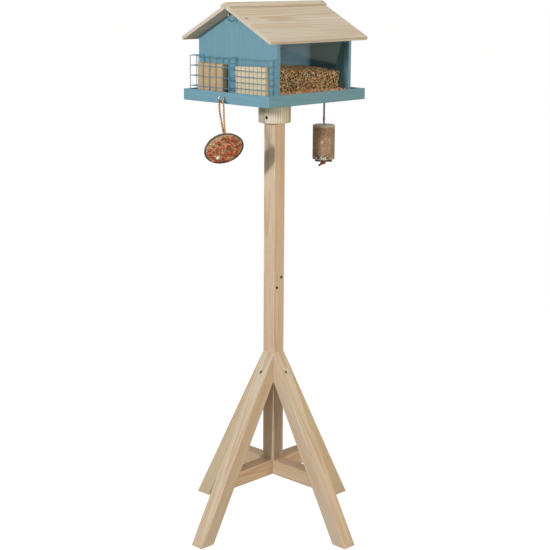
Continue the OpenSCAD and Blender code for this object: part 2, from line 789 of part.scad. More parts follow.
module cage_coarse_front() { color("steelblue") cage_place(1) cage_front(coarse_n, coarse_m, coarse_wire); }
module cage_coarse_ends() { color("steelblue") cage_place(1) cage_end(coarse_n, coarse_m, coarse_wire); }
module cage_coarse_tabs() { color("steelblue") cage_place(1) cage_tab(1, coarse_n, coarse_m, coarse_wire); }
module cage_fine_front() { color("steelblue") cage_place(-1) cage_front(fine_n, fine_m, fine_wire); }
module cage_fine_ends() { color("steelblue") cage_place(-1) cage_end(fine_n, fine_m, fine_wire); }
module cage_fine_tabs() { color("steelblue") cage_place(-1) cage_tab(-1, fine_n, fine_m, fine_wire); }

// Wire staple over a wire of diameter d that lies across it, standing on the YZ plane and driven towards +X
staple_d = 1.2;
module staple(half, d, gap = 0) {
    r = staple_d / 2 + gap;
    out = tab_gap + d + staple_d / 2 + weld;
    for (z = [-half, half]) translate([-out, 0, z]) rotate([0, 90, 0])
        cylinder(h = out + 6 + gap, r = r, $fn = 16);
    translate([-out, 0, -half - r]) cylinder(h = 2 * (half + r), r = r, $fn = 16);
}

// Two staples on each tab, over its rails, and three in the middle, each across both cages' back uprights
module staples(gap = 0) {
    for (c = [[1, coarse_n, coarse_m, coarse_wire], [-1, fine_n, fine_m, fine_wire]], j = [1, c[2] - 1]) {
        d = c[3];
        w = cage_w - d;
        cage_place(c[0]) translate([0, c[0] * (w / 2 - w / c[1] / 2), rail_z(c[2], d, j)])
            staple(d / 2 + staple_d / 2 + weld, d, gap);
    }
    d = max(coarse_wire, fine_wire);
    half = 2 * slip + d + staple_d / 2 + weld;
    for (k = [0.12, 0.4, 0.88]) translate([cage_x, 0, floor_top + k * cage_h]) rotate([90, 0, 0])
        staple(half, d, gap);
}

module cage_staples() { color("silver") staples(); }

// Largest distance of a block from the middle of the wall: it stays clear of the tab where it stands
// against the wall, and of the outer end panel where it stands in front of the tab
function block_y(y, w, n, d, gap) = min(y, -slip - w / 2 + cage_y
    + (gap > tab_gap + 2 * d + slip ? cage_w / 2 - d : (cage_w - d) * (1 / 2 - 1 / n) - d / 2));

// Gap behind a block, with its front kept clear of the mesh
function block_gap(gap, t, d) = max(slip, min(gap, cage_d - 1.8 * d - slip - t));

// Cast block of suet that stands on the tray floor, a little askew where its corner rests on seed
module block(y, w, h, t, gap, tilt = 0) {
    translate([cage_x - gap - t / 2, y, floor_top + slip + w / 2 * sin(tilt)])
        rotate([-tilt, 0, 0]) rotate([0, 0, 90]) board(w, t, h, 3);
}

module suet_coarse() {
    gap = block_gap(block_a_gap, block_a_t, coarse_wire);
    y = block_y(block_a_y, block_a_w, coarse_n, coarse_wire, gap);
    color("tan") block(y, block_a_w, block_a_h, block_a_t, gap);
}

module suet_fine() {
    y = block_y(block_b_y, block_b_w, fine_n, fine_wire, slip);
    color("wheat") block(-y, block_b_w, block_b_h, block_b_t, slip, block_b_tilt);
}

// Treats

// Frame of the coconut: the rim lies in the XY plane and the open face looks along +Z
module coco_place() {
    translate(left_eye + coco_centre) rotate([0, 90 + coco_tilt, coco_turn]) children();
}

module coconut_shell() {
    back = coco_ball_r - coco_depth;
    color("saddlebrown") difference() {
        coco_place() difference() {
            translate([0, 0, back]) sphere(coco_ball_r, $fn = 96);
            translate([0, 0, back]) sphere(coco_ball_r - coco_t, $fn = 96);
            translate([-2 * coco_r, -2 * coco_r, 0]) cube([4 * coco_r, 4 * coco_r, 4 * coco_r]);
        }
        twine_hole();
    }
}

module twine_hole() {
    translate(left_eye + [coco_hole[0], coco_hole[1], coco_end]) cylinder(h = 60, d = coco_hole_d);
}

// Fat that fills the shell, with a slightly crowned face
module coconut_fat() {
    back = coco_ball_r - coco_depth;
    crown = 4;
    r = coco_r - coco_t;
    crown_r = (r * r + crown * crown) / (2 * crown);
    color("tan") difference() {
        coco_place() intersection() {
            translate([0, 0, back]) sphere(coco_ball_r - coco_t - fit, $fn = 96);
            translate([0, 0, crown - crown_r]) sphere(crown_r, $fn = 96);
        }
        twine_hole();
    }
}

module coconut_twine() {
    color("peru") translate(left_eye) tube(smooth(coco_route, 2), coco_twine_d);
}

module fat_log() {
    r = log_d / 2;
    c = 2.5;
    color("tan") translate(right_eye + [0, 0, log_top - log_h]) rotate_extrude($fn = 96) polygon([
        [log_bore / 2, 0], [r - c, 0], [r, c], [r, log_h - c], [r - c, log_h], [log_bore / 2, log_h]]);
}

module log_twine() {
    color("peru") translate(right_eye) tube(smooth(log_route, 2), log_twine_d);
}

twig_z = log_top - log_h - twig_d / 2 - slip;
module log_twig() {
    color("saddlebrown") translate(right_eye + [0, 0, twig_z]) rotate([0, 90, twig_turn])
        cylinder(h = twig_l, d = twig_d, center = true);
}

// Knot under the bight, and two turns round the twig with a loose end
module log_knot() {
    d = log_twine_d;
    r = twig_d / 2 + d / 2 + fit;
    end = [-13, 0, -11];
    color("sienna") {
        translate(right_eye + [0, 0, knot_z]) rotate_extrude($fn = 32) translate([d + pin_gap, 0])
            scale([1, 1.4]) circle(d / 2, $fn = 16);
        translate(right_eye + [0, 0, twig_z]) rotate([0, 0, twig_turn]) {
            for (x = [0, d]) translate([x, 0, 0]) rotate([0, 90, 0]) rotate([0, 0, -110])
                rotate_extrude(angle = 220, $fn = 48) translate([r, 0]) circle(d / 2, $fn = 20);
            translate([0, 0, -r]) rotate([0, 90, 0]) cylinder(h = d, r = d / 2);
            translate([0, 0, -r]) sphere(d / 2);
            translate([0, 0, -r]) rotate([0, 180 + atan(end[0] / end[2]), 0]) cylinder(h = norm(end), r = d / 2);
        }
    }
}

cross_beam_x();
cross_beam_y();
centre_screw();
lower_post();
upper_post();
joint_screws();
leg_left();
leg_right();
leg_front();
leg_back();
leg_screws();
leg_dowels();
collar();
collar_screws();
tray_floor();
tray_screws();
rim_left();
rim_right();
rim_front();
rim_back();
gable_left();
gable_right();
divider();
house_screws();
pane_front();
pane_back();
seed_front();
seed_back();
roof_back();
roof_screws();
roof_front();
ridge_cap();
hinge_leaves_back();
hinge_leaves_cap();
hinge_pins();
leaf_screws_back();
leaf_screws_cap();
gable_hook();
hook_left();
hook_right();
cage_coarse_front();
cage_coarse_ends();
cage_coarse_tabs();
cage_fine_front();
cage_fine_ends();
cage_fine_tabs();
cage_staples();
suet_coarse();
suet_fine();
coconut_shell();
coconut_fat();
coconut_twine();
fat_log();
log_twine();
log_twig();
log_knot();
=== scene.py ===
"""Looks of a wooden bird feeder on a jointed post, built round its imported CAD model.

The CAD nodes stay where they are and get their finishes here. What is loose, cast, grown or twisted, such as
the seed, the suet, the coconut, the fat log, the twig and the twine, is modelled here and replaces its node.
Lengths in the classes are in millimetres; Blender works in metres.
"""

from __future__ import annotations

import json
import logging
import math
import random
from collections.abc import Callable, Iterator, Sequence
from contextlib import contextmanager
from dataclasses import dataclass, field, replace
from enum import Enum
from typing import Any

import bpy
import numpy as np
from mathutils import Euler, Matrix, Vector, noise

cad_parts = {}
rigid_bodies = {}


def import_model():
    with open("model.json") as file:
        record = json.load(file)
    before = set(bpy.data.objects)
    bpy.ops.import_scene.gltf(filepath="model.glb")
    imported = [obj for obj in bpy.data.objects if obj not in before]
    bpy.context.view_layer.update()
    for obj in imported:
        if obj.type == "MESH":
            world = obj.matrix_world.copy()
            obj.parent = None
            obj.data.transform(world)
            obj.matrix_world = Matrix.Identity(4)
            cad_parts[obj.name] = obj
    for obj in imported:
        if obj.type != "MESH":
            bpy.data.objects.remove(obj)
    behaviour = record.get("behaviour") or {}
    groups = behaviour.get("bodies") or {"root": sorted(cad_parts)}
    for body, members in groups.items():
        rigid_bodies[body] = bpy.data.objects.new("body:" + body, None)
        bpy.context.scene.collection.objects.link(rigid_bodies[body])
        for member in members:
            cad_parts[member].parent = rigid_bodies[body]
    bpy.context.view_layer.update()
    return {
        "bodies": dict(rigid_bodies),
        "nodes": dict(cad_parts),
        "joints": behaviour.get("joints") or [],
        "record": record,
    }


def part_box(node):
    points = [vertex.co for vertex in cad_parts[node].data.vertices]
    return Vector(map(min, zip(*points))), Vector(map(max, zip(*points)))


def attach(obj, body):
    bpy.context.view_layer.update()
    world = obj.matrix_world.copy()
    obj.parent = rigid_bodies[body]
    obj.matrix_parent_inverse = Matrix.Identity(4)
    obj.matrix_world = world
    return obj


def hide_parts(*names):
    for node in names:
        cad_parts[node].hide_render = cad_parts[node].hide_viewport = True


LOG = logging.getLogger("feeder")
MM = 0.001
# A point in space, a point in a section, a choice of faces by their centre and normal, and a shader node.
Point = tuple[float, float, float]
Place = tuple[float, float]
Choice = Callable[[Vector, Vector], bool]
Node = bpy.types.Node


# Hand tools


def clear_selection() -> None:
    """Leaves nothing selected, so that the next operator acts on its own piece alone."""
    bpy.ops.object.select_all(action="DESELECT")


def take(piece: bpy.types.Object) -> None:
    """Makes one piece the only selected and active one.

    Args:
        piece: The object to work on.
    """
    clear_selection()
    piece.select_set(True)
    bpy.context.view_layer.objects.active = piece


@contextmanager
def editing(piece: bpy.types.Object, choose: Choice | None = None) -> Iterator[None]:
    """Opens edit mode in face mode with the chosen faces selected, and closes it afterwards.

    Args:
        piece: The mesh object to edit.
        choose: Says from a face's centre and normal whether it is selected; all faces if left out.

    Returns:
        A context in which mesh operators act on the selection.
    """
    take(piece)
    mesh = piece.data
    chosen = np.array([choose is None or choose(face.center, face.normal) for face in mesh.polygons], bool)
    touched = np.zeros(len(mesh.vertices), bool)
    for face, on in zip(mesh.polygons, chosen):
        if on:
            touched[list(face.vertices)] = True
    mesh.vertices.foreach_set("select", touched)
    mesh.edges.foreach_set("select", [bool(touched[list(edge.vertices)].all()) for edge in mesh.edges])
    mesh.polygons.foreach_set("select", chosen)
    bpy.context.tool_settings.mesh_select_mode = (False, False, True)
    bpy.ops.object.mode_set(mode="EDIT")
    try:
        yield
    finally:
        bpy.ops.object.mode_set(mode="OBJECT")


def settle(piece: bpy.types.Object, name: str, smooth_angle: float | None = None) -> bpy.types.Object:
    """Finishes a piece: modifiers and place go into its mesh, and its object sits at the origin.

    Args:
        piece: The mesh object.
        name: Its name in the table of pieces.
        smooth_angle: Edges flatter than this, in degrees, are shaded smooth; none if left out.

    Returns:
        The same object.
    """
    take(piece)
    for modifier in list(piece.modifiers):
        bpy.ops.object.modifier_apply(modifier=modifier.name)
    bpy.ops.object.transform_apply(location=True, rotation=True, scale=True)
    if smooth_angle is not None:
        bpy.ops.object.shade_smooth_by_angle(angle=math.radians(smooth_angle))
    piece.name = name
    piece.data.name = name
    return piece


def point_outwards(piece: bpy.types.Object) -> None:
    """Merges doubled points and turns all faces outwards.

    Args:
        piece: The mesh object.
    """
    with editing(piece):
        bpy.ops.mesh.remove_doubles(threshold=1e-6)
        bpy.ops.mesh.select_all(action="SELECT")
        bpy.ops.mesh.normals_make_consistent(inside=False)


def join(pieces: Sequence[bpy.types.Object]) -> bpy.types.Object:
    """Joins several objects into the first.

    Args:
        pieces: The objects; the first one stays.

    Returns:
        The joined object.
    """
    take(pieces[0])
    for piece in pieces[1:]:
        piece.select_set(True)
    bpy.ops.object.join()
    return pieces[0]


def draw_outline(points: Sequence[Point], closed: bool = True) -> bpy.types.Object:
    """Draws a line point by point, by extruding one vertex, and fills it if it is closed.

    Args:
        points: The corners, in metres, in order.
        closed: Whether the outline is filled with one face.

    Returns:
        A new mesh object with its origin at the world's.
    """
    bpy.ops.mesh.primitive_plane_add(size=MM, location=(0, 0, 0))
    piece = bpy.context.object
    with editing(piece):
        bpy.context.tool_settings.mesh_select_mode = (True, False, False)
        bpy.ops.mesh.select_all(action="SELECT")
        bpy.ops.mesh.merge(type="CENTER")
        bpy.ops.transform.translate(value=points[0])
        for a, b in zip(points, points[1:]):
            step = Vector(b) - Vector(a)
            bpy.ops.mesh.extrude_vertices_move(TRANSFORM_OT_translate={"value": step})
        if closed:
            bpy.ops.mesh.select_all(action="SELECT")
            bpy.ops.mesh.edge_face_add()
    return piece


def lying_ball(segments: int, rings: int, radii: Point) -> bpy.types.Object:
    """Adds a ball about the origin with its poles along X, drawn out to three radii.

    Args:
        segments: Number of faces round it.
        rings: Number of faces from pole to pole.
        radii: Its radii along X, Y and Z, in metres.

    Returns:
        A new mesh object.
    """
    bpy.ops.mesh.primitive_uv_sphere_add(
        segments=segments, ring_count=rings, radius=1.0, rotation=(0, math.pi / 2, 0)
    )
    ball = bpy.context.object
    bpy.ops.object.transform_apply(rotation=True)
    ball.scale = radii
    bpy.ops.object.transform_apply(scale=True)
    return ball


def pull(piece: bpy.types.Object, way: Vector) -> None:
    """Extrudes a whole flat piece into a solid.

    Args:
        piece: A mesh object that holds one flat face.
        way: How far and which way it is pulled, in metres.
    """
    with editing(piece):
        bpy.ops.mesh.extrude_region_move(TRANSFORM_OT_translate={"value": way})
    point_outwards(piece)


def roughen(piece: bpy.types.Object, size: float, depth: float, middle: float) -> None:
    """Displaces a mesh along its normals with soft random bumps.

    Args:
        piece: The mesh object.
        size: Size of the bumps in millimetres.
        depth: Height of the bumps in millimetres.
        middle: The texture value that leaves the surface where it is.
    """
    texture = bpy.data.textures.new(f"{piece.name}_bumps", "CLOUDS")
    texture.noise_scale = size * MM
    take(piece)
    modifier = piece.modifiers.new("roughen", "DISPLACE")
    modifier.texture = texture
    modifier.texture_coords = "LOCAL"
    modifier.strength = depth * MM
    modifier.mid_level = middle
    bpy.ops.object.modifier_apply(modifier=modifier.name)


def new_piece(
    name: str, points: Sequence[Sequence[float]], faces: Sequence[Sequence[int]]
) -> bpy.types.Object:
    """Makes a mesh object from worked-out points, for a twisted cord or for many copies of one shape.

    Args:
        name: Its name.
        points: Its points, in metres.
        faces: The points of each face.

    Returns:
        The new object, in the scene.
    """
    mesh = bpy.data.meshes.new(name)
    mesh.from_pydata(points, [], faces)
    piece = bpy.data.objects.new(name, mesh)
    bpy.context.scene.collection.objects.link(piece)
    return piece


def mark(piece: bpy.types.Object, name: str, values: Sequence[float]) -> None:
    """Keeps a number on each point of a piece, for its material to read.

    Args:
        piece: The mesh object.
        name: Name of the attribute.
        values: One number for each point.
    """
    layer = piece.data.attributes.new(name, "FLOAT", "POINT")
    layer.data.foreach_set("value", np.array(values, np.float32))


def tumbled(rng: random.Random, lean: float) -> Matrix:
    """Returns a turn to any side with a small lean, as a dropped kernel lies.

    Args:
        rng: Source of chance.
        lean: Largest lean about each level axis, in radians.

    Returns:
        A 4 by 4 matrix.
    """
    turn = Euler((rng.uniform(-lean, lean), rng.uniform(-lean, lean), rng.uniform(0, 2 * math.pi)))
    return turn.to_matrix().to_4x4()


def copies(
    pattern: bpy.types.Object, places: Sequence[Matrix], name: str, shades: Sequence[float] | None = None
) -> bpy.types.Object:
    """Repeats one modelled shape at many places, as one mesh.

    Args:
        pattern: The shape, about the origin. It is left as it is.
        places: One matrix for each copy.
        name: Name of the new object.
        shades: A number from 0 to 1 for each copy, kept on its points as the attribute "shade".

    Returns:
        The new mesh object.
    """
    mesh = pattern.data
    count = len(mesh.vertices)
    rest = np.ones((count, 4))
    rest[:, :3] = np.array([v.co for v in mesh.vertices])
    faces = [tuple(f.vertices) for f in mesh.polygons]
    points = np.concatenate([(rest @ np.array(m).T)[:, :3] for m in places])
    every = [tuple(i + k * count for i in f) for k in range(len(places)) for f in faces]
    piece = new_piece(name, points.tolist(), every)
    piece.data.polygons.foreach_set("use_smooth", [f.use_smooth for f in mesh.polygons] * len(places))
    if shades is not None:
        mark(piece, "shade", np.repeat(shades, count))
    return piece


def discard(*pieces: bpy.types.Object) -> None:
    """Removes patterns and cutters that have done their work."""
    for piece in pieces:
        bpy.data.objects.remove(piece)


# Finishes


def linear(code: str) -> tuple[float, float, float, float]:
    """Turns an sRGB hex colour into the linear one that Blender's sockets hold.

    Args:
        code: Six hex digits, with or without a number sign.

    Returns:
        Red, green, blue and an alpha of 1.
    """
    code = code.lstrip("#")
    parts = [int(code[i : i + 2], 16) / 255 for i in (0, 2, 4)]
    r, g, b = (c / 12.92 if c <= 0.04045 else ((c + 0.055) / 1.055) ** 2.4 for c in parts)
    return r, g, b, 1.0


def add(
    tree: bpy.types.NodeTree,
    kind: str,
    settings: dict[str, Any] | None = None,
    sockets: dict[str, Any] | None = None,
) -> Node:
    """Adds a node with its settings, values and links.

    Args:
        tree: The material's or world's node tree.
        kind: Blender's name of the node.
        settings: Properties of the node. "ramp" holds a colour ramp's stops as (place, hex colour).
        sockets: Input names or identifiers, each with a value, a node whose first output is linked, a pair
            of a node and an output's name, or a hex colour.

    Returns:
        The new node.
    """
    made = tree.nodes.new(kind)
    for key, value in (settings or {}).items():
        if key == "ramp":
            stops = made.color_ramp.elements
            while len(stops) < len(value):
                stops.new(0.5)
            for stop, (place, colour) in zip(stops, value):
                stop.position, stop.color = place, linear(colour)
        elif key == "steps":
            made.color_ramp.interpolation = value
        else:
            setattr(made, key, value)
    for key, value in (sockets or {}).items():
        socket = next(s for s in made.inputs if key in (s.identifier, s.name) and not s.is_unavailable)
        if isinstance(value, Node):
            tree.links.new(next(s for s in value.outputs if not s.is_unavailable), socket)
        elif isinstance(value, tuple) and isinstance(value[0], Node):
            tree.links.new(value[0].outputs[value[1]], socket)
        else:
            socket.default_value = linear(value) if isinstance(value, str) else value
    return made


def blend(tree: bpy.types.NodeTree, ground: Node | str, *tones: tuple[Any, str]) -> Node:
    """Lays tones over a ground colour, one after the other.

    Args:
        tree: The material's nodes.
        ground: The colour under them.
        tones: The share that each one has, from 0 to 1, and its hex colour.

    Returns:
        The node that gives the last mix.
    """
    for share, tone in tones:
        mix = {"Factor_Float": share, "A_Color": ground, "B_Color": tone}
        ground = add(tree, "ShaderNodeMix", {"data_type": "RGBA"}, mix)
    return ground


def new_material(name: str) -> tuple[bpy.types.Material, bpy.types.NodeTree]:
    """Makes an empty node material.

    Args:
        name: Its name, in a maker's words.

    Returns:
        The material and its cleared node tree.
    """
    material = bpy.data.materials.new(name)
    material.use_nodes = True
    material.node_tree.nodes.clear()
    return material, material.node_tree


def paint(piece: bpy.types.Object, material: bpy.types.Material) -> None:
    """Gives a piece one material."""
    piece.data.materials.clear()
    piece.data.materials.append(material)


@dataclass(frozen=True)
class Knot:
    """A knot in a board.

    Attributes:
        at: Its middle in the row frame, in millimetres.
        radius: Radius of its dark core, in millimetres.
    """

    at: Point
    radius: float


@dataclass(frozen=True)
class Timber:
    """Sawn and planed softwood, as rings round a pith that lies outside the board.

    Pale early wood turns slowly to darker late wood and stops sharply, and fine fibres run along it. A
    stained board is the same with the colours of the stain. Planed wood is matt with a little sheen.

    Attributes:
        name: The material's name.
        early: Colour of the early wood.
        late: Colour of the late wood.
        blush: Colour of broad darker zones.
        ring: Width of a growth ring, in millimetres.
        contrast: Strength of the rings, from 0 to 1.
        fibre: Strength of the fibres, from 0 to 1.
        pith: Place of the pith from the board's middle, through and across the board, in millimetres.
        tilt: Angle between the pith and the board, in degrees; it makes the long arches of sawn boards.
        rough: Roughness of the surface.
        core: Colour of a knot.
        sway: How far the rings wander to a side, in millimetres.
        sway_width: Width across the board in which they do so, in millimetres.
        zone_width: Width of the broad darker zones, in millimetres.
        stretch: How many times longer than wide both are, along the grain.
        fibre_width: Width of a fibre as drawn, in millimetres.
        fibre_stretch: How many times longer than wide a fibre is.
        apart: How far along the grain two boards lie in the pattern if their seeds differ by 1.
    """

    name: str
    early: str = "#D2BFA3"
    late: str = "#BD9D7B"
    blush: str = "#CBAB8B"
    ring: float = 3.6
    contrast: float = 0.75
    fibre: float = 0.35
    pith: tuple[float, float] = (-46.0, 9.0)
    tilt: float = 0.8
    rough: float = 0.6
    core: str = "#6E4A34"
    sway: float = 9.0
    sway_width: float = 28.57
    zone_width: float = 16.67
    stretch: float = 20.0
    fibre_width: float = 0.909
    fibre_stretch: float = 55.6
    apart: float = 400.0

    def lie(self, name: str, grain: Vector, through: Vector) -> tuple[Vector, Matrix]:
        """Works out how the board lies beside its pith.

        Args:
            name: The board's CAD node.
            grain: Direction of the grain, in the row frame.
            through: Direction through the board's thickness.

        Returns:
            The board's middle, and a frame with X through the board and Z along the pith.
        """
        low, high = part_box(name)
        z = grain.normalized()
        x = (through - through.dot(z) * z).normalized()
        frame = Matrix((x, z.cross(x), z)).transposed()
        side = Matrix.Rotation(math.radians(self.tilt), 3, "Y")
        edge = Matrix.Rotation(math.radians(self.tilt * 0.4), 3, "X")
        return (low + high) / 2, frame @ side @ edge

    def pith_distance(self, tree: bpy.types.NodeTree, moved: Node, drawn: Node) -> Node:
        """Measures the distance of each point from a pith that wanders to its sides.

        Args:
            tree: The material's nodes.
            moved: The point in the board's frame, in millimetres.
            drawn: The same, drawn out along the grain.

        Returns:
            The node that gives the distance.
        """
        wander = add(
            tree, "ShaderNodeTexNoise", None,
            {"Vector": drawn, "Scale": 1 / self.sway_width, "Detail": 3.0},
        )
        swing = add(
            tree, "ShaderNodeVectorMath", {"operation": "MULTIPLY_ADD"},
            {
                "Vector": (wander, "Color"),
                "Vector_001": (self.sway, self.sway, 0.0),
                "Vector_002": (-self.sway / 2, -self.sway / 2, 0.0),
            },
        )
        bent = add(
            tree, "ShaderNodeVectorMath", {"operation": "ADD"}, {"Vector": moved, "Vector_001": swing}
        )
        flat = add(
            tree, "ShaderNodeVectorMath", {"operation": "MULTIPLY"},
            {"Vector": bent, "Vector_001": (1.0, 1.0, 0.0)},
        )
        return add(
            tree, "ShaderNodeVectorMath", {"operation": "DISTANCE"},
            {"Vector": flat, "Vector_001": (*self.pith, 0.0)},
        )

    def bend_round_knots(
        self, tree: bpy.types.NodeTree, local: Node, spots: Sequence[tuple[Vector, float]], radius: Node
    ) -> tuple[Node, Node | float, Node | float]:
        """Bends the rings round the knots.

        Args:
            tree: The material's nodes.
            local: The point in the board's frame, in millimetres.
            spots: Place in that frame and radius of each knot.
            radius: Distance from the pith.

        Returns:
            The bent distance, the knots' cores and their halos, which are 1 inside and 0 outside.
        """
        smooth = {"interpolation_type": "SMOOTHSTEP"}
        largest = {"operation": "MAXIMUM"}
        cores: Node | float = 0.0
        halos: Node | float = 0.0
        for at, size in spots:
            gap = add(
                tree, "ShaderNodeVectorMath", {"operation": "SUBTRACT"},
                {"Vector": local, "Vector_001": tuple(at)},
            )
            squashed = add(
                tree, "ShaderNodeVectorMath", {"operation": "MULTIPLY"},
                {"Vector": gap, "Vector_001": (1 / size, 1 / size, 0.7 / size)},
            )
            reach = add(tree, "ShaderNodeVectorMath", {"operation": "LENGTH"}, {"Vector": squashed})
            swell = add(
                tree, "ShaderNodeMapRange", smooth,
                {"Value": reach, "From Min": 0.6, "From Max": 3.6, "To Min": 2.4 * self.ring, "To Max": 0.0},
            )
            radius = add(tree, "ShaderNodeMath", {"operation": "ADD"}, {"Value": radius, "Value_001": swell})
            core = add(
                tree, "ShaderNodeMapRange", smooth,
                {"Value": reach, "From Min": 0.75, "From Max": 1.2, "To Min": 1.0, "To Max": 0.0},
            )
            halo = add(
                tree, "ShaderNodeMapRange", smooth,
                {"Value": reach, "From Min": 0.8, "From Max": 2.6, "To Min": 0.6, "To Max": 0.0},
            )
            cores = add(tree, "ShaderNodeMath", largest, {"Value": cores, "Value_001": core})
            halos = add(tree, "ShaderNodeMath", largest, {"Value": halos, "Value_001": halo})
        return radius, cores, halos

    def ring_line(self, tree: bpy.types.NodeTree, radius: Node) -> Node:
        """Draws each growth ring, which darkens slowly outwards and stops sharply.

        Args:
            tree: The material's nodes.
            radius: Distance from the pith.

        Returns:
            The node that gives 0 in early wood and 1 in late wood.
        """
        count = add(
            tree, "ShaderNodeMath", {"operation": "DIVIDE"}, {"Value": radius, "Value_001": self.ring}
        )
        cycle = add(tree, "ShaderNodeMath", {"operation": "FRACT"}, {"Value": count})
        line = add(tree, "ShaderNodeFloatCurve", None, {"Value": cycle})
        curve = line.mapping.curves[0]
        curve.points[0].location = (0.0, 0.0)
        curve.points[1].location = (1.0, 0.0)
        curve.points.new(0.55, 0.18)
        curve.points.new(0.86, 1.0)
        line.mapping.update()
        return line

    def dress(
        self,
        piece: bpy.types.Object,
        grain: Vector,
        through: Vector,
        knots: Sequence[Knot] = (),
        seed: float = 0.0,
    ) -> None:
        """Makes the board's own material and puts it on.

        Args:
            piece: The board.
            grain: Direction of the grain, in the row frame.
            through: Direction through the board's thickness.
            knots: Knots in this board.
            seed: Shifts the pattern, so that no two boards are alike.
        """
        middle, frame = self.lie(piece.name, grain, through)
        inverse = frame.transposed()
        spots = [(inverse @ (Vector(knot.at) - middle / MM), knot.radius) for knot in knots]
        material, tree = new_material(f"{self.name}_{piece.name}")
        place = add(tree, "ShaderNodeTexCoord")
        local = add(
            tree, "ShaderNodeMapping", {"vector_type": "TEXTURE"},
            {
                "Vector": (place, "Object"),
                "Location": middle,
                "Rotation": frame.to_euler("XYZ"),
                "Scale": (MM, MM, MM),
            },
        )
        moved = add(
            tree, "ShaderNodeVectorMath", {"operation": "ADD"},
            {"Vector": local, "Vector_001": (0.0, 0.0, self.apart * seed)},
        )
        drawn = add(
            tree, "ShaderNodeVectorMath", {"operation": "MULTIPLY"},
            {"Vector": moved, "Vector_001": (1.0, 1.0, 1 / self.stretch)},
        )
        pith = self.pith_distance(tree, moved, drawn)
        radius, cores, halos = self.bend_round_knots(tree, local, spots, pith)
        line = self.ring_line(tree, radius)
        broad = add(
            tree, "ShaderNodeTexNoise", None,
            {"Vector": drawn, "Scale": 1 / self.zone_width, "Detail": 2.0},
        )
        zone = add(
            tree, "ShaderNodeMapRange", {"interpolation_type": "SMOOTHSTEP"},
            {"Value": broad, "From Min": 0.4, "From Max": 0.68, "To Max": 0.85},
        )
        thin = add(
            tree, "ShaderNodeVectorMath", {"operation": "MULTIPLY"},
            {"Vector": moved, "Vector_001": (1.0, 1.0, 1 / self.fibre_stretch)},
        )
        # Real fibres are a tenth of a millimetre wide; they are drawn far coarser, to show at all.
        fibres = add(
            tree, "ShaderNodeTexNoise", None,
            {"Vector": thin, "Scale": 1 / self.fibre_width, "Detail": 4.0, "Roughness": 0.65},
        )
        share = add(
            tree, "ShaderNodeMath", {"operation": "MULTIPLY"}, {"Value": line, "Value_001": self.contrast}
        )
        streak = add(
            tree, "ShaderNodeMapRange", None,
            {
                "Value": fibres,
                "From Min": 0.3,
                "From Max": 0.7,
                "To Min": 1 - 0.28 * self.fibre,
                "To Max": 1 + 0.16 * self.fibre,
            },
        )
        ringed = blend(tree, self.early, (zone, self.blush), (share, self.late))
        streaked = add(
            tree, "ShaderNodeVectorMath", {"operation": "SCALE"}, {"Vector": ringed, "Scale": streak}
        )
        colour = blend(tree, streaked, (halos, self.late), (cores, self.core))
        height = add(
            tree, "ShaderNodeMath", {"operation": "MULTIPLY_ADD"},
            {"Value": fibres, "Value_001": 0.6, "Value_002": line},
        )
        relief = add(
            tree, "ShaderNodeBump", None, {"Strength": 0.35, "Distance": 0.12 * MM, "Height": height}
        )
        sheen = add(
            tree, "ShaderNodeMapRange", None,
            {
                "Value": fibres,
                "From Min": 0.3,
                "From Max": 0.7,
                "To Min": self.rough - 0.08,
                "To Max": self.rough + 0.08,
            },
        )
        shader = add(
            tree, "ShaderNodeBsdfPrincipled", None,
            {"Base Color": colour, "Roughness": sheen, "Normal": relief, "IOR": 1.45},
        )
        add(tree, "ShaderNodeOutputMaterial", None, {"Surface": shader})
        paint(piece, material)


@dataclass(frozen=True)
class ClearAcrylic:
    """Cast acrylic sheet, 3 mm thick: clear, glossy and very slightly green.

    It bends light for the eye. It lets lamps and soft light through unbent, so that the seed behind it is
    lit.
    """

    name: str = "clear_acrylic"
    tint: str = "#EEF4F2"
    ior: float = 1.49

    def material(self) -> bpy.types.Material:
        """Makes the sheet's material.

        Returns:
            The material.
        """
        made, tree = new_material(self.name)
        glass = add(
            tree, "ShaderNodeBsdfPrincipled", None,
            {"Base Color": self.tint, "Roughness": 0.02, "IOR": self.ior, "Transmission Weight": 1.0},
        )
        through = add(tree, "ShaderNodeBsdfTransparent", None, {"Color": self.tint})
        path = add(tree, "ShaderNodeLightPath")
        lit = add(
            tree, "ShaderNodeMath", {"operation": "MAXIMUM"},
            {"Value": (path, "Is Shadow Ray"), "Value_001": (path, "Is Diffuse Ray")},
        )
        both = add(tree, "ShaderNodeMixShader", None, {"Fac": lit, "Shader": glass, "Shader_001": through})
        add(tree, "ShaderNodeOutputMaterial", None, {"Surface": both})
        return made


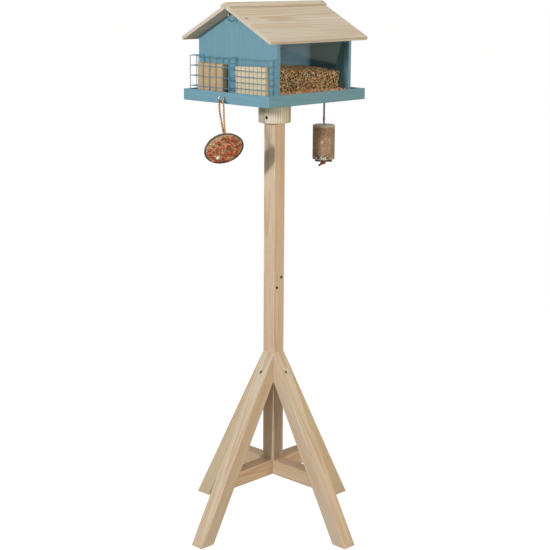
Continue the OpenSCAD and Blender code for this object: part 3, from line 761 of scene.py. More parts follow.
@dataclass(frozen=True)
class Metal:
    """Plated, brassed or blackened steel, with the faint cloudiness of a dipped or drawn surface.

    Attributes:
        name: The material's name.
        colour: Colour of the metal.
        rough: Its middle roughness.
        cloud: Size of the cloudy patches, in millimetres.
        metallic: 1 for bare or plated metal.
    """

    name: str
    colour: str
    rough: float
    cloud: float = 4.0
    metallic: float = 1.0

    def material(self) -> bpy.types.Material:
        """Makes the metal's material.

        Returns:
            The material.
        """
        made, tree = new_material(self.name)
        place = add(tree, "ShaderNodeTexCoord")
        cloud = add(
            tree, "ShaderNodeTexNoise", None,
            {"Vector": (place, "Object"), "Scale": 1 / (self.cloud * MM), "Detail": 4.0},
        )
        rough = add(
            tree, "ShaderNodeMapRange", None,
            {
                "Value": cloud,
                "From Min": 0.3,
                "From Max": 0.7,
                "To Min": self.rough - 0.1,
                "To Max": self.rough + 0.12,
            },
        )
        tone = add(
            tree, "ShaderNodeMapRange", None,
            {"Value": cloud, "From Min": 0.3, "From Max": 0.7, "To Min": 0.82},
        )
        colour = add(
            tree, "ShaderNodeVectorMath", {"operation": "SCALE"},
            {"Vector": linear(self.colour)[:3], "Scale": tone},
        )
        shader = add(
            tree, "ShaderNodeBsdfPrincipled", None,
            {"Base Color": colour, "Roughness": rough, "Metallic": self.metallic},
        )
        add(tree, "ShaderNodeOutputMaterial", None, {"Surface": shader})
        return made


@dataclass(frozen=True)
class CoatedWire:
    """Welded steel wire dipped in blue plastic: a smooth coat with a soft shine, a little uneven in tone."""

    name: str = "coated_wire"
    colour: str = "#41758C"
    worn: str = "#5F94A8"

    def material(self) -> bpy.types.Material:
        """Makes the wire's material.

        Returns:
            The material.
        """
        made, tree = new_material(self.name)
        place = add(tree, "ShaderNodeTexCoord")
        mottle = add(
            tree, "ShaderNodeTexNoise", None,
            {"Vector": (place, "Object"), "Scale": 1 / (3 * MM), "Detail": 3.0},
        )
        colour = blend(tree, self.colour, (mottle, self.worn))
        relief = add(tree, "ShaderNodeBump", None, {"Strength": 0.2, "Distance": 0.05 * MM, "Height": mottle})
        shader = add(
            tree, "ShaderNodeBsdfPrincipled", None,
            {"Base Color": colour, "Roughness": 0.36, "IOR": 1.5, "Normal": relief},
        )
        add(tree, "ShaderNodeOutputMaterial", None, {"Surface": shader})
        return made


@dataclass(frozen=True)
class Kernels:
    """Loose seed and grain: each kernel takes one colour of the mix, with a dull waxy skin.

    Attributes:
        name: The material's name.
        mix: The colours of the mix, each with its share of the kernels.
        rough: Roughness of the skins.
    """

    name: str
    mix: tuple[tuple[float, str], ...]
    rough: float = 0.5

    def material(self) -> bpy.types.Material:
        """Makes the kernels' material.

        Returns:
            The material. It reads the attribute "shade", one number for each kernel.
        """
        made, tree = new_material(self.name)
        shade = add(tree, "ShaderNodeAttribute", {"attribute_name": "shade"})
        place = add(tree, "ShaderNodeTexCoord")
        total, stops = 0.0, []
        for part, colour in self.mix:
            stops.append((total, colour))
            total += part
        ramp = add(
            tree, "ShaderNodeValToRGB", {"ramp": [(p / total, c) for p, c in stops], "steps": "CONSTANT"},
            {"Fac": (shade, "Fac")},
        )
        speck = add(
            tree, "ShaderNodeTexNoise", None,
            {"Vector": (place, "Object"), "Scale": 1 / (1.2 * MM), "Detail": 3.0},
        )
        tone = add(
            tree, "ShaderNodeMapRange", None,
            {"Value": speck, "From Min": 0.3, "From Max": 0.7, "To Min": 0.78, "To Max": 1.15},
        )
        colour = add(tree, "ShaderNodeVectorMath", {"operation": "SCALE"}, {"Vector": ramp, "Scale": tone})
        relief = add(tree, "ShaderNodeBump", None, {"Strength": 0.4, "Distance": 0.15 * MM, "Height": speck})
        shader = add(
            tree, "ShaderNodeBsdfPrincipled", None,
            {"Base Color": colour, "Roughness": self.rough, "IOR": 1.45, "Normal": relief},
        )
        add(tree, "ShaderNodeOutputMaterial", None, {"Surface": shader})
        return made


@dataclass(frozen=True)
class Crumb:
    """Cast fat with meal, flour or husk in it, or the near-black bed under loose seed, painted as the shade
    between kernels.

    It has cells of a few tones, and is dull and pitted.

    Attributes:
        name: The material's name.
        ground: Main colour.
        light: Colour of pale flecks.
        dark: Colour of dark flecks.
        fleck: Size of a fleck, in millimetres.
        flecks: Strength of the flecks, from 0 to 1.
        cloud: Strength of broad darker patches, from 0 to 1.
        rough: Roughness.
        bloom: Colour of a dusting of dry meal, where the attribute "bloom" puts it.
        wiped: Colour of streaks up the cast, where it slid out of its tube.
        streaks: Strength of those streaks, from 0 to 1.
    """

    name: str
    ground: str
    light: str
    dark: str
    fleck: float = 2.2
    flecks: float = 0.5
    cloud: float = 0.3
    rough: float = 0.6
    bloom: str = "#BFBCA8"
    wiped: str = "#9A6238"
    streaks: float = 0.0

    def material(self) -> bpy.types.Material:
        """Makes the cast's material.

        Returns:
            The material. It reads the attribute "bloom", where the piece has one.
        """
        made, tree = new_material(self.name)
        place = add(tree, "ShaderNodeTexCoord")
        cells = add(
            tree, "ShaderNodeTexVoronoi", None,
            {"Vector": (place, "Object"), "Scale": 1 / (self.fleck * MM), "Randomness": 1.0},
        )
        pick = add(tree, "ShaderNodeSeparateColor", None, {"Color": (cells, "Color")})
        pale = add(
            tree, "ShaderNodeMapRange", None,
            {"Value": (pick, "Red"), "From Min": 0.72, "From Max": 0.9, "To Max": self.flecks},
        )
        deep = add(
            tree, "ShaderNodeMapRange", None,
            {"Value": (pick, "Green"), "From Min": 0.78, "From Max": 0.95, "To Max": self.flecks},
        )
        patch = add(
            tree, "ShaderNodeTexNoise", None,
            {"Vector": (place, "Object"), "Scale": 1 / (22 * MM), "Detail": 4.0, "Roughness": 0.6},
        )
        shadow = add(
            tree, "ShaderNodeMapRange", None,
            {"Value": patch, "From Min": 0.42, "From Max": 0.7, "To Max": self.cloud},
        )
        tall = add(tree, "ShaderNodeMapping", None, {"Vector": (place, "Object"), "Scale": (1.0, 1.0, 0.07)})
        smear = add(
            tree, "ShaderNodeTexNoise", None,
            {"Vector": tall, "Scale": 1 / (5.5 * MM), "Detail": 3.0, "Roughness": 0.6},
        )
        along = add(
            tree, "ShaderNodeMapRange", None,
            {"Value": smear, "From Min": 0.44, "From Max": 0.62, "To Max": self.streaks},
        )
        dust = add(tree, "ShaderNodeAttribute", {"attribute_name": "bloom"})
        cast = blend(tree, self.ground, (shadow, self.dark), (pale, self.light), (deep, self.dark))
        dusted = blend(tree, cast, (along, self.wiped), ((dust, "Fac"), self.bloom))
        pits = add(
            tree, "ShaderNodeTexNoise", None,
            {"Vector": (place, "Object"), "Scale": 1 / (0.9 * MM), "Detail": 5.0, "Roughness": 0.7},
        )
        relief = add(tree, "ShaderNodeBump", None, {"Strength": 0.6, "Distance": 0.35 * MM, "Height": pits})
        shader = add(
            tree, "ShaderNodeBsdfPrincipled", None,
            {
                "Base Color": dusted,
                "Roughness": self.rough,
                "IOR": 1.46,
                "Normal": relief,
                "Subsurface Weight": 0.08,
                "Subsurface Radius": (0.004, 0.002, 0.001),
                "Subsurface Scale": 0.5,
            },
        )
        add(tree, "ShaderNodeOutputMaterial", None, {"Surface": shader})
        return made


@dataclass(frozen=True)
class Fibre:
    """Twisted jute, coir husk or bark: dull and hairy, in streaks of a light and a dark tone.

    Attributes:
        name: The material's name.
        light: Colour of the raised fibres, and of the tops of a twine's plies.
        dark: Colour between them; in a twine's grooves it is painted shade.
        width: Width of a streak, in millimetres.
    """

    name: str
    light: str
    dark: str
    width: float = 0.8

    def material(self) -> bpy.types.Material:
        """Makes the fibres' material.

        Returns:
            The material. It reads the attribute "shade", which is high on the raised fibres; on twine it is
            low in the grooves between the plies, as painted shade.
        """
        made, tree = new_material(self.name)
        place = add(tree, "ShaderNodeTexCoord")
        shade = add(tree, "ShaderNodeAttribute", {"attribute_name": "shade"})
        grit = add(
            tree, "ShaderNodeTexNoise", None,
            {"Vector": (place, "Object"), "Scale": 1 / (self.width * MM), "Detail": 5.0, "Roughness": 0.7},
        )
        spread = add(
            tree, "ShaderNodeMapRange", None,
            {"Value": grit, "From Min": 0.25, "From Max": 0.75, "To Min": -0.35, "To Max": 0.35},
        )
        total = add(
            tree, "ShaderNodeMath", {"operation": "ADD", "use_clamp": True},
            {"Value": (shade, "Fac"), "Value_001": spread},
        )
        colour = blend(tree, self.dark, (total, self.light))
        relief = add(tree, "ShaderNodeBump", None, {"Strength": 0.6, "Distance": 0.25 * MM, "Height": grit})
        shader = add(
            tree, "ShaderNodeBsdfPrincipled", None,
            {"Base Color": colour, "Roughness": 0.85, "Sheen Weight": 0.25, "Normal": relief},
        )
        add(tree, "ShaderNodeOutputMaterial", None, {"Surface": shader})
        return made


# The studio


@dataclass
class Studio:
    """Camera, lamps, floor and surround.

    The camera's place was found by fitting a pinhole camera to the corners of the post, tray, roof and legs.

    Attributes:
        eye: Place of the camera, in millimetres.
        heading: Direction in which it looks, in degrees clockwise from +Y seen from above.
        dip: Angle by which it looks down, in degrees.
        roll: Turn about its own axis, in degrees.
        focal_px: Focal length in pixels of the photograph's 550 pixel frame.
        frame_px: Width of that frame.
        ambient: Brightness of the even light from all round.
    """

    eye: Point = (-2535.7, -2477.2, 1515.8)
    heading: float = 45.72
    dip: float = 12.96
    roll: float = 0.32
    focal_px: float = 1343.35
    frame_px: float = 550.0
    ambient: float = 0.33

    def camera(self) -> None:
        """Places the camera."""
        data = bpy.data.cameras.new("camera")
        data.sensor_width = 36.0
        data.lens = self.focal_px / self.frame_px * data.sensor_width
        data.clip_start, data.clip_end = 0.1, 60.0
        camera = bpy.data.objects.new("camera", data)
        bpy.context.scene.collection.objects.link(camera)
        turn = (
            Matrix.Rotation(-math.radians(self.heading), 4, "Z")
            @ Matrix.Rotation(math.radians(90 - self.dip), 4, "X")
            @ Matrix.Rotation(math.radians(self.roll), 4, "Z")
        )
        camera.matrix_world = Matrix.Translation(Vector(self.eye) * MM) @ turn
        bpy.context.scene.camera = camera
        LOG.info("camera at %s", self.eye)

    def surround(self) -> None:
        """Lights the scene evenly from all round, and shows white directly, in mirrors and through glass."""
        world = bpy.data.worlds.new("surround")
        bpy.context.scene.world = world
        world.use_nodes = True
        tree = world.node_tree
        tree.nodes.clear()
        path = add(tree, "ShaderNodeLightPath")
        glossy = add(
            tree, "ShaderNodeMath", {"operation": "MAXIMUM"},
            {"Value": (path, "Is Glossy Ray"), "Value_001": (path, "Is Transmission Ray")},
        )
        seen = add(
            tree, "ShaderNodeMath", {"operation": "MAXIMUM"},
            {"Value": (path, "Is Camera Ray"), "Value_001": glossy},
        )
        light = add(tree, "ShaderNodeBackground", None, {"Color": "#FFFDFA", "Strength": self.ambient})
        white = add(tree, "ShaderNodeBackground", None, {"Color": "#FFFFFF", "Strength": 1.0})
        both = add(tree, "ShaderNodeMixShader", None, {"Fac": seen, "Shader": light, "Shader_001": white})
        add(tree, "ShaderNodeOutputWorld", None, {"Surface": both})

    def floor(self) -> None:
        """Lays a white floor that keeps the object's soft shadow."""
        bpy.ops.mesh.primitive_plane_add(size=60.0, location=(0, 0, -0.0005))
        floor = bpy.context.object
        floor.name = "studio_floor"
        material, tree = new_material("white_paper_sweep")
        path = add(tree, "ShaderNodeLightPath")
        paper = add(tree, "ShaderNodeBsdfDiffuse", None, {"Color": "#CCCAC6"})
        white = add(tree, "ShaderNodeEmission", None, {"Color": "#FFFFFF", "Strength": 1.2})
        dim = add(tree, "ShaderNodeEmission", None, {"Color": "#3A3A3A", "Strength": 1.0})
        seen = add(
            tree, "ShaderNodeMath", {"operation": "MAXIMUM"},
            {"Value": (path, "Is Camera Ray"), "Value_001": (path, "Is Transmission Ray")},
        )
        lift = add(tree, "ShaderNodeMath", {"operation": "MULTIPLY"}, {"Value": seen, "Value_001": 0.8})
        lit = add(tree, "ShaderNodeMixShader", None, {"Fac": lift, "Shader": paper, "Shader_001": white})
        both = add(
            tree, "ShaderNodeMixShader", None,
            {"Fac": (path, "Is Glossy Ray"), "Shader": lit, "Shader_001": dim},
        )
        add(tree, "ShaderNodeOutputMaterial", None, {"Surface": both})
        paint(floor, material)

    def card(self) -> None:
        """Lays a pale card on the floor, far to the right, that only the front pane mirrors."""
        corners = [(3.20, -4.31), (3.436, -3.061), (5.00, -1.984), (7.5, -3.5), (6.0, -7.5)]
        card = draw_outline([(x, y, 0.004) for x, y in corners])
        card.name = "studio_card"
        material, tree = new_material("pale_card")
        cream = add(tree, "ShaderNodeEmission", None, {"Color": "#F5F2E0", "Strength": 0.8})
        add(tree, "ShaderNodeOutputMaterial", None, {"Surface": cream})
        paint(card, material)
        for ray in ("camera", "diffuse", "transmission", "volume_scatter", "shadow"):
            setattr(card, f"visible_{ray}", False)

    def lamp(self, name: str, at: Point, aim: Point, size: float, watts: float, colour: str) -> None:
        """Adds a square soft lamp.

        Args:
            name: Its name.
            at: Its place, in metres.
            aim: The point that it faces, in metres.
            size: Its side, in metres.
            watts: Its power.
            colour: Its colour.
        """
        data = bpy.data.lights.new(name, "AREA")
        data.size, data.energy, data.color = size, watts, linear(colour)[:3]
        lamp = bpy.data.objects.new(name, data)
        bpy.context.scene.collection.objects.link(lamp)
        way = (Vector(aim) - Vector(at)).to_track_quat("-Z", "Y")
        lamp.matrix_world = Matrix.Translation(at) @ way.to_matrix().to_4x4()

    def build(self) -> None:
        """Sets up the whole studio."""
        scene = bpy.context.scene
        scene.view_settings.view_transform = "Standard"
        self.camera()
        self.surround()
        self.floor()
        self.card()
        self.lamp("left_key", (-3.4, -0.2, 2.0), (0, 0, 1.0), 0.32, 94.0, "#F4F6FF")
        self.lamp("front_fill", (0.1, -3.6, 1.6), (0, 0, 0.9), 1.2, 66.0, "#FFF1DE")
        self.lamp("overhead", (-0.3, -0.3, 3.6), (0, 0, 1.2), 1.0, 17.0, "#FFFDFA")


# Wood


class Board(Enum):
    """How a board lies: the direction of its grain and the direction through its thickness."""

    UPRIGHT = ((0, 0, 1), (1, 0, 0))
    UPRIGHT_FLAT_Y = ((0, 0, 1), (0, 1, 0))
    ALONG_X = ((1, 0, 0), (0, 1, 0))
    ALONG_X_FLAT = ((1, 0, 0), (0, 0, 1))
    ALONG_Y = ((0, 1, 0), (1, 0, 0))


@dataclass
class Joinery:
    """The boards, bars and turned collar, all carried over from the CAD model.

    Attributes:
        nodes: The CAD nodes by name.
        lean: Lean of the legs, in degrees.
        pitch: Slope of the roof, in degrees.
        pine: Wood of the post, the dowels and, in other tones, the legs and the beams.
        roof: Wood of the roof.
        turned: Wood of the collar.
        stain: Stained wood of the tray and the walls.
    """

    nodes: dict[str, bpy.types.Object]
    lean: float = 29.0
    pitch: float = 27.5
    pine: Timber = field(default_factory=lambda: Timber("planed_pine"))
    roof: Timber = field(
        default_factory=lambda: Timber(
            "roof_pine",
            early="#CBC2B1",
            late="#B29B7C",
            blush="#C5B59D",
            ring=4.2,
            pith=(-70.0, -20.0),
            tilt=0.5,
        )
    )
    turned: Timber = field(
        default_factory=lambda: Timber(
            "turned_pine",
            early="#D8CFB9",
            late="#A89878",
            blush="#CDC1A6",
            ring=4.7,
            fibre=0.6,
            pith=(-58.0, 62.0),
            tilt=0.2,
        )
    )
    stain: Timber = field(
        default_factory=lambda: Timber(
            "stained_pine",
            early="#6A949F",
            late="#5B8695",
            blush="#6D97A0",
            ring=4.0,
            contrast=0.25,
            fibre=0.5,
            pith=(-90.0, 15.0),
            core="#4E7482",
            rough=0.55,
        )
    )

    def inside(self) -> Timber:
        """Returns a bluer copy of the stain for the divider: painted shade, the cool cast of the house's
        shaded inside.
        """
        name = "stained_pine_painted_cool_shade"
        return replace(self.stain, name=name, early="#7698B4", late="#668AA6", blush="#7899B4")

    def legs(self) -> dict[str, Timber]:
        """Returns the wood of each leg, in order round the post from +X.

        Painted light: the back and right legs, whose seen sides are in shade, get a lighter and yellower
        copy of the pine; the left and front legs get a greyer, greener copy.

        Returns:
            The legs' nodes, each with its wood.
        """
        name = "planed_pine_green"
        green = replace(self.pine, name=name, early="#CABBA1", late="#B79A7B", blush="#C3A88A")
        # Painted light: a lighter copy of the pine for the two legs whose seen sides are in shade.
        name = "planed_pine_painted_lighter"
        yellow = replace(self.pine, name=name, early="#D5C5A3", late="#C2A27D", blush="#CEB18C")
        return {"leg_right": yellow, "leg_back": yellow, "leg_left": green, "leg_front": green}

    def heart(self) -> Timber:
        """Returns the browner pine of the crossed beams."""
        name = "planed_pine_brown"
        return replace(self.pine, name=name, early="#C9B393", late="#B5936F", blush="#C2A07E")

    def dress(self, timber: Timber, name: str, board: Board, seed: float, knots: Sequence[Knot] = ()) -> None:
        """Gives one CAD board its wood.

        Args:
            timber: The kind of wood.
            name: The CAD node.
            board: How it lies.
            seed: Shifts the pattern.
            knots: Its knots.
        """
        grain, through = board.value
        timber.dress(self.nodes[name], Vector(grain), Vector(through), knots, seed)

    def stand(self) -> None:
        """Dresses the post, the crossed beams, the legs and the collar."""
        self.dress(self.pine, "upper_post", Board.UPRIGHT, 0.13)
        self.dress(self.pine, "lower_post", Board.UPRIGHT_FLAT_Y, 0.71, [Knot((18, -20, 402), 3.0)])
        brown = self.heart()
        beam_knots = [Knot((3, -20, 163), 4.6), Knot((22, -20, 155), 2.2)]
        self.dress(brown, "cross_beam_x", Board.ALONG_X, 0.4, beam_knots)
        self.dress(brown, "cross_beam_y", Board.ALONG_Y, 0.9)
        self.dress(self.turned, "collar", Board.UPRIGHT, 0.55)
        self.dress(self.pine, "leg_dowels", Board.ALONG_X, 0.2)
        lean = math.radians(self.lean)
        for k, (name, wood) in enumerate(self.legs().items()):
            spin = Matrix.Rotation(math.radians(90 * k), 3, "Z")
            grain = spin @ Vector((-math.sin(lean), 0, math.cos(lean)))
            through = spin @ Vector((math.cos(lean), 0, math.sin(lean)))
            wood.dress(self.nodes[name], grain, through, (), 0.23 * k + 0.05)
        LOG.info("stand dressed")

    def house(self) -> None:
        """Dresses the tray and the walls."""
        for name, board, seed in (
            ("tray_floor", Board.ALONG_X_FLAT, 0.1),
            ("rim_front", Board.ALONG_X, 0.35),
            ("rim_back", Board.ALONG_X, 0.6),
            ("rim_left", Board.ALONG_Y, 0.2),
            ("rim_right", Board.ALONG_Y, 0.8),
            ("gable_left", Board.UPRIGHT, 0.45),
            ("gable_right", Board.UPRIGHT, 0.95),
        ):
            self.dress(self.stain, name, board, seed)
        # The divider's bluer stain is painted shade: the cool cast of the shaded inside.
        self.dress(self.inside(), "divider", Board.ALONG_X, 0.5)
        LOG.info("house dressed")

    def cover(self) -> None:
        """Dresses the roof."""
        slope = math.radians(self.pitch)
        for name, side, seed in (("roof_back", 1, 0.3), ("roof_front", -1, 0.75)):
            through = Vector((0, side * math.sin(slope), math.cos(slope)))
            knots = [Knot((-166, -63, 1388), 2.4)] if name == "roof_front" else []
            self.roof.dress(self.nodes[name], Vector((1, 0, 0)), through, knots, seed)
        self.dress(self.roof, "ridge_cap", Board.ALONG_X_FLAT, 0.15, [Knot((174, -8, 1424), 2.6)])
        LOG.info("roof dressed")


# Metal, wire and panes


@dataclass
class Hardware:
    """Screws, hinges, hooks, cages, staples and panes, carried over from the CAD model.

    Attributes:
        nodes: The CAD nodes by name.
    """

    nodes: dict[str, bpy.types.Object]

    def dress(self) -> None:
        """Gives each CAD piece of metal, wire or acrylic its finish."""
        black = Metal("blackened_screw", "#2E2A27", 0.5).material()
        zinc = Metal("zinc_plate", "#B4B5B0", 0.34).material()
        brass = Metal("brass_plate", "#B99E68", 0.4).material()
        wire = CoatedWire().material()
        clear = ClearAcrylic().material()
        screws = [f"{place}_screws" for place in ("joint", "leg", "collar", "tray", "house", "roof")]
        cages = [f"cage_{mesh}_{part}" for mesh in ("coarse", "fine") for part in ("front", "ends", "tabs")]
        table = {
            black: ["centre_screw", *screws],
            zinc: ["hinge_pins", "gable_hook", "hook_left", "hook_right", "cage_staples"],
            brass: ["hinge_leaves_back", "hinge_leaves_cap", "leaf_screws_back", "leaf_screws_cap"],
            wire: cages,
            clear: ["pane_front", "pane_back"],
        }
        for material, names in table.items():
            for name in names:
                paint(self.nodes[name], material)
        LOG.info("hardware dressed")


# Seed


class Grain(Enum):
    """A kind of kernel: its half length, half width and half thickness in millimetres."""

    WHEAT = (3.3, 1.6, 1.4)
    MILLET = (1.4, 1.3, 1.3)
    HEART = (4.4, 2.1, 1.5)
    MAIZE = (2.9, 2.4, 1.7)

    def model(self) -> bpy.types.Object:
        """Models one kernel about the origin, long along X, with a blunt and a pointed end.

        Returns:
            A mesh object with a few dozen faces.
        """
        a, b, c = (v * MM for v in self.value)
        kernel = lying_ball(6, 5, (a, b, c))
        with editing(kernel, lambda centre, normal: centre.x > 0.35 * a):
            bpy.ops.transform.resize(value=(1.0, 0.78, 0.8), center_override=(0, 0, 0))
        bpy.ops.object.shade_smooth()
        kernel.name = f"kernel_{self.name.lower()}"
        return kernel


@dataclass
class Patch:
    """A flat four-sided area on which kernels lie.

    Attributes:
        corner: One corner, in millimetres.
        along: One side from that corner.
        across: The other side.
        normal: Which way the kernels look out.
        fall: How far the area drops from its middle to the far end of `along`, at its first and last row.
    """

    corner: Vector
    along: Vector
    across: Vector
    normal: Vector
    fall: tuple[float, float] = (0.0, 0.0)

    def places(
        self, spacing: float, sink: float, rng: random.Random, tumble: float, size: tuple[float, float]
    ) -> list[Matrix]:
        """Lays kernels on a jittered grid.

        Args:
            spacing: Mean distance between kernels, in millimetres.
            sink: How far their middles lie under the surface, in millimetres.
            rng: Source of chance.
            tumble: How far they stand up from the surface, in radians.
            size: Smallest and largest scale.

        Returns:
            One matrix for each kernel, in metres.
        """
        n = max(1, round(self.along.length / spacing))
        m = max(1, round(self.across.length / spacing))
        base = self.normal.to_track_quat("Z", "X").to_matrix().to_4x4()
        found = []
        for i in range(n):
            for j in range(m):
                u, v = (i + rng.uniform(0.05, 0.95)) / n, (j + rng.uniform(0.05, 0.95)) / m
                at = self.corner + self.along * u + self.across * v
                at -= self.normal * sink * rng.uniform(0.5, 1.5)
                at.z += (1 - 2 * u) * (self.fall[0] * (1 - v) + self.fall[1] * v)
                turn = tumbled(rng, tumble)
                scale = Matrix.Scale(rng.uniform(*size), 4)
                found.append(Matrix.Translation(at * MM) @ base @ turn @ scale)
        return found


# The colours of mixed seed and grain, each with its share of the kernels.
SEED_MIX = (
    (0.19, "#F0B07A"),
    (0.15, "#CC7646"),
    (0.20, "#FFD6A2"),
    (0.14, "#843F25"),
    (0.16, "#FFEDCE"),
    (0.07, "#E89A58"),
    (0.05, "#3A251B"),
    (0.05, "#FCBC60"),
)


@dataclass
class SeedBay:
    """Loose seed behind, under and in front of one pane.

    Attributes:
        side: -1 for the front bay, 1 for the back bay.
        half_x: Half the length between the gable walls.
        floor: Height of the tray floor.
        top: Height of the seed at the divider and at the pane, above the floor.
        spill: Height of the seed in front of the pane, at the pane and at the rim.
        divider: Half the thickness of the divider.
        foot: Distance of the pane's outer face from the middle, at its foot.
        pane: Thickness of the pane.
        lean: Lean of the pane, in degrees.
        gap: Gap under the pane.
        rim: Distance of the rim's inner face from the middle.
        fall: How far the heap drops from its middle to its right end, and rises to its left one.
        inset: How far the bed lies under the loose kernels.
        slope: Distance from the pane at which the heap starts to slope down to it.
        shoulder: How far it has dropped at the pane.
        sink: How far the kernels' middles lie under the surface.
        size: Smallest and largest scale of a kernel.
    """

    side: int
    half_x: float = 127.2
    floor: float = 1184.0
    top: tuple[float, float] = (80.0, 72.0)
    spill: tuple[float, float] = (21.0, 18.0)
    divider: float = 5.3
    foot: float = 111.0
    pane: float = 3.0
    lean: float = 9.0
    gap: float = 16.0
    rim: float = 146.2
    fall: float = 8.5
    inset: float = 3.6
    slope: float = 9.0
    shoulder: float = 3.0
    sink: float = 0.5
    size: tuple[float, float] = (0.75, 1.08)

    @property
    def word(self) -> str:
        """The bay's name."""
        return "front" if self.side < 0 else "back"

    @property
    def middle(self) -> tuple[float, float]:
        """Distance and height of the heap halfway between the divider and the pane."""
        return (self.divider + self.foot) / 2, (2 * self.top[0] + self.top[1]) / 3

    def outer(self, height: float) -> float:
        """Distance of the pane's outer face from the middle at a height above the floor."""
        return self.foot + (height - self.gap) * math.tan(math.radians(self.lean))

    def inner(self, height: float) -> float:
        """Distance of the pane's inner face from the middle at a height above the floor."""
        return self.outer(height) - self.pane / math.cos(math.radians(self.lean))

    def bed(self) -> bpy.types.Object:
        """Models the heap under the loose kernels, a little inside its surface.

        Returns:
            A closed mesh object.
        """
        inset, foot, rim, under_pane = self.inset, 0.3, self.rim - 0.5, self.gap - 2
        middle, middle_top = self.middle
        outline = [
            (self.divider, foot),
            (self.divider, self.top[0] - inset),
            (middle, middle_top - inset),
            (self.inner(self.top[1]) - self.slope - inset, self.top[1] + 1 - inset),
            (self.inner(self.top[1]) - 1.5 * inset, self.top[1] - self.shoulder - inset),
            (self.inner(self.gap) - inset, under_pane),
            (self.outer(self.gap) + inset, under_pane),
            (self.outer(self.spill[0]) + inset, self.spill[0] - inset),
            (rim, self.spill[1] - inset),
            (rim, foot),
        ]
        end, s, z = -self.half_x, self.side, self.floor
        bed = draw_outline([(end * MM, s * y * MM, (z + h) * MM) for y, h in outline])
        pull(bed, Vector((2 * self.half_x * MM, 0, 0)))
        for vertex in bed.data.vertices:
            if vertex.co.z > (self.floor + self.spill[0]) * MM:
                vertex.co.z -= self.fall * MM * vertex.co.x / (self.half_x * MM)
        return settle(bed, f"seed_bed_{self.word}")

    def strip(self, near: Place, far: Place, fall: tuple[float, float] = (1.0, 1.0)) -> Patch:
        """Returns one surface of the heap, from gable wall to gable wall.

        Args:
            near: Distance from the middle and height above the floor of its inner edge.
            far: The same of its outer edge.
            fall: The share of the heap's fall that each edge has.

        Returns:
            The surface.
        """
        half = self.half_x - 2.5
        corner = Vector((-half, self.side * near[0], self.floor + near[1]))
        along = Vector((2 * half, 0, 0))
        across = Vector((0, self.side * (far[0] - near[0]), far[1] - near[1]))
        normal = Vector((0, -self.side * across.z, self.side * across.y)).normalized()
        return Patch(corner, along, across, normal, (self.fall * fall[0], self.fall * fall[1]))

    def patches(self) -> dict[str, tuple[Patch, float]]:
        """Lists the visible surfaces of the heap.

        Returns:
            Each surface by name, with the spacing of its kernels in millimetres.
        """
        low = self.top[1] - self.shoulder
        edge = self.top[1] + 1.0
        divider = (self.divider + 1.5, self.top[0])
        slope = (self.inner(self.top[1]) - self.slope, edge)
        bend = (self.inner(low) - self.slope, edge)
        face = (self.inner(low) - 2.0, low)
        foot = (self.inner(self.gap) - 2.0, self.gap)
        pane = (self.outer(self.spill[0]) + 2.4, self.spill[0])
        rim = (self.rim - 2.4, self.spill[1])
        return {
            "near_divider": (self.strip(divider, self.middle), 3.9),
            "near_pane": (self.strip(self.middle, slope), 3.7),
            "shoulder": (self.strip(bend, (self.inner(low) - 2.2, low)), 3.5),
            "face": (self.strip(face, foot, (1.0, 0.0)), 3.6),
            "spill": (self.strip(pane, rim, (0.0, 0.0)), 4.0),
        }

    def build(self, loose: bpy.types.Material, under: bpy.types.Material) -> None:
        """Models and places the bay's seed, in place of the CAD heap.

        Args:
            loose: The kernels' material.
            under: Material of the bed under them, painted dark as the shade in the gaps between kernels.
        """
        rng = random.Random(f"seed {self.word}")
        bed = self.bed()
        paint(bed, under)
        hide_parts(f"seed_{self.word}")
        patterns = {kind: kind.model() for kind in Grain}
        shares = {Grain.WHEAT: 0.62, Grain.MILLET: 0.14, Grain.HEART: 0.1, Grain.MAIZE: 0.14}
        made = [bed]
        for name, (patch, spacing) in self.patches().items():
            tumble = {"face": 0.25, "spill": 1.1}.get(name, 0.6)
            places = patch.places(spacing, self.sink, rng, tumble, self.size)
            sorted_out: dict[Grain, list[Matrix]] = {kind: [] for kind in Grain}
            for place in places:
                kind = rng.choices(list(shares), list(shares.values()))[0]
                sorted_out[kind].append(place)
            parts = [
                copies(patterns[kind], spots, f"part_{kind.name}", [rng.random() for _ in spots])
                for kind, spots in sorted_out.items()
                if spots
            ]
            piece = settle(join(parts), f"seed_{self.word}_{name}")
            paint(piece, loose)
            made.append(piece)
        for piece in made:
            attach(piece, "stand")
        discard(*patterns.values())
        LOG.info("seed %s: %d pieces", self.word, len(made))


# Suet blocks


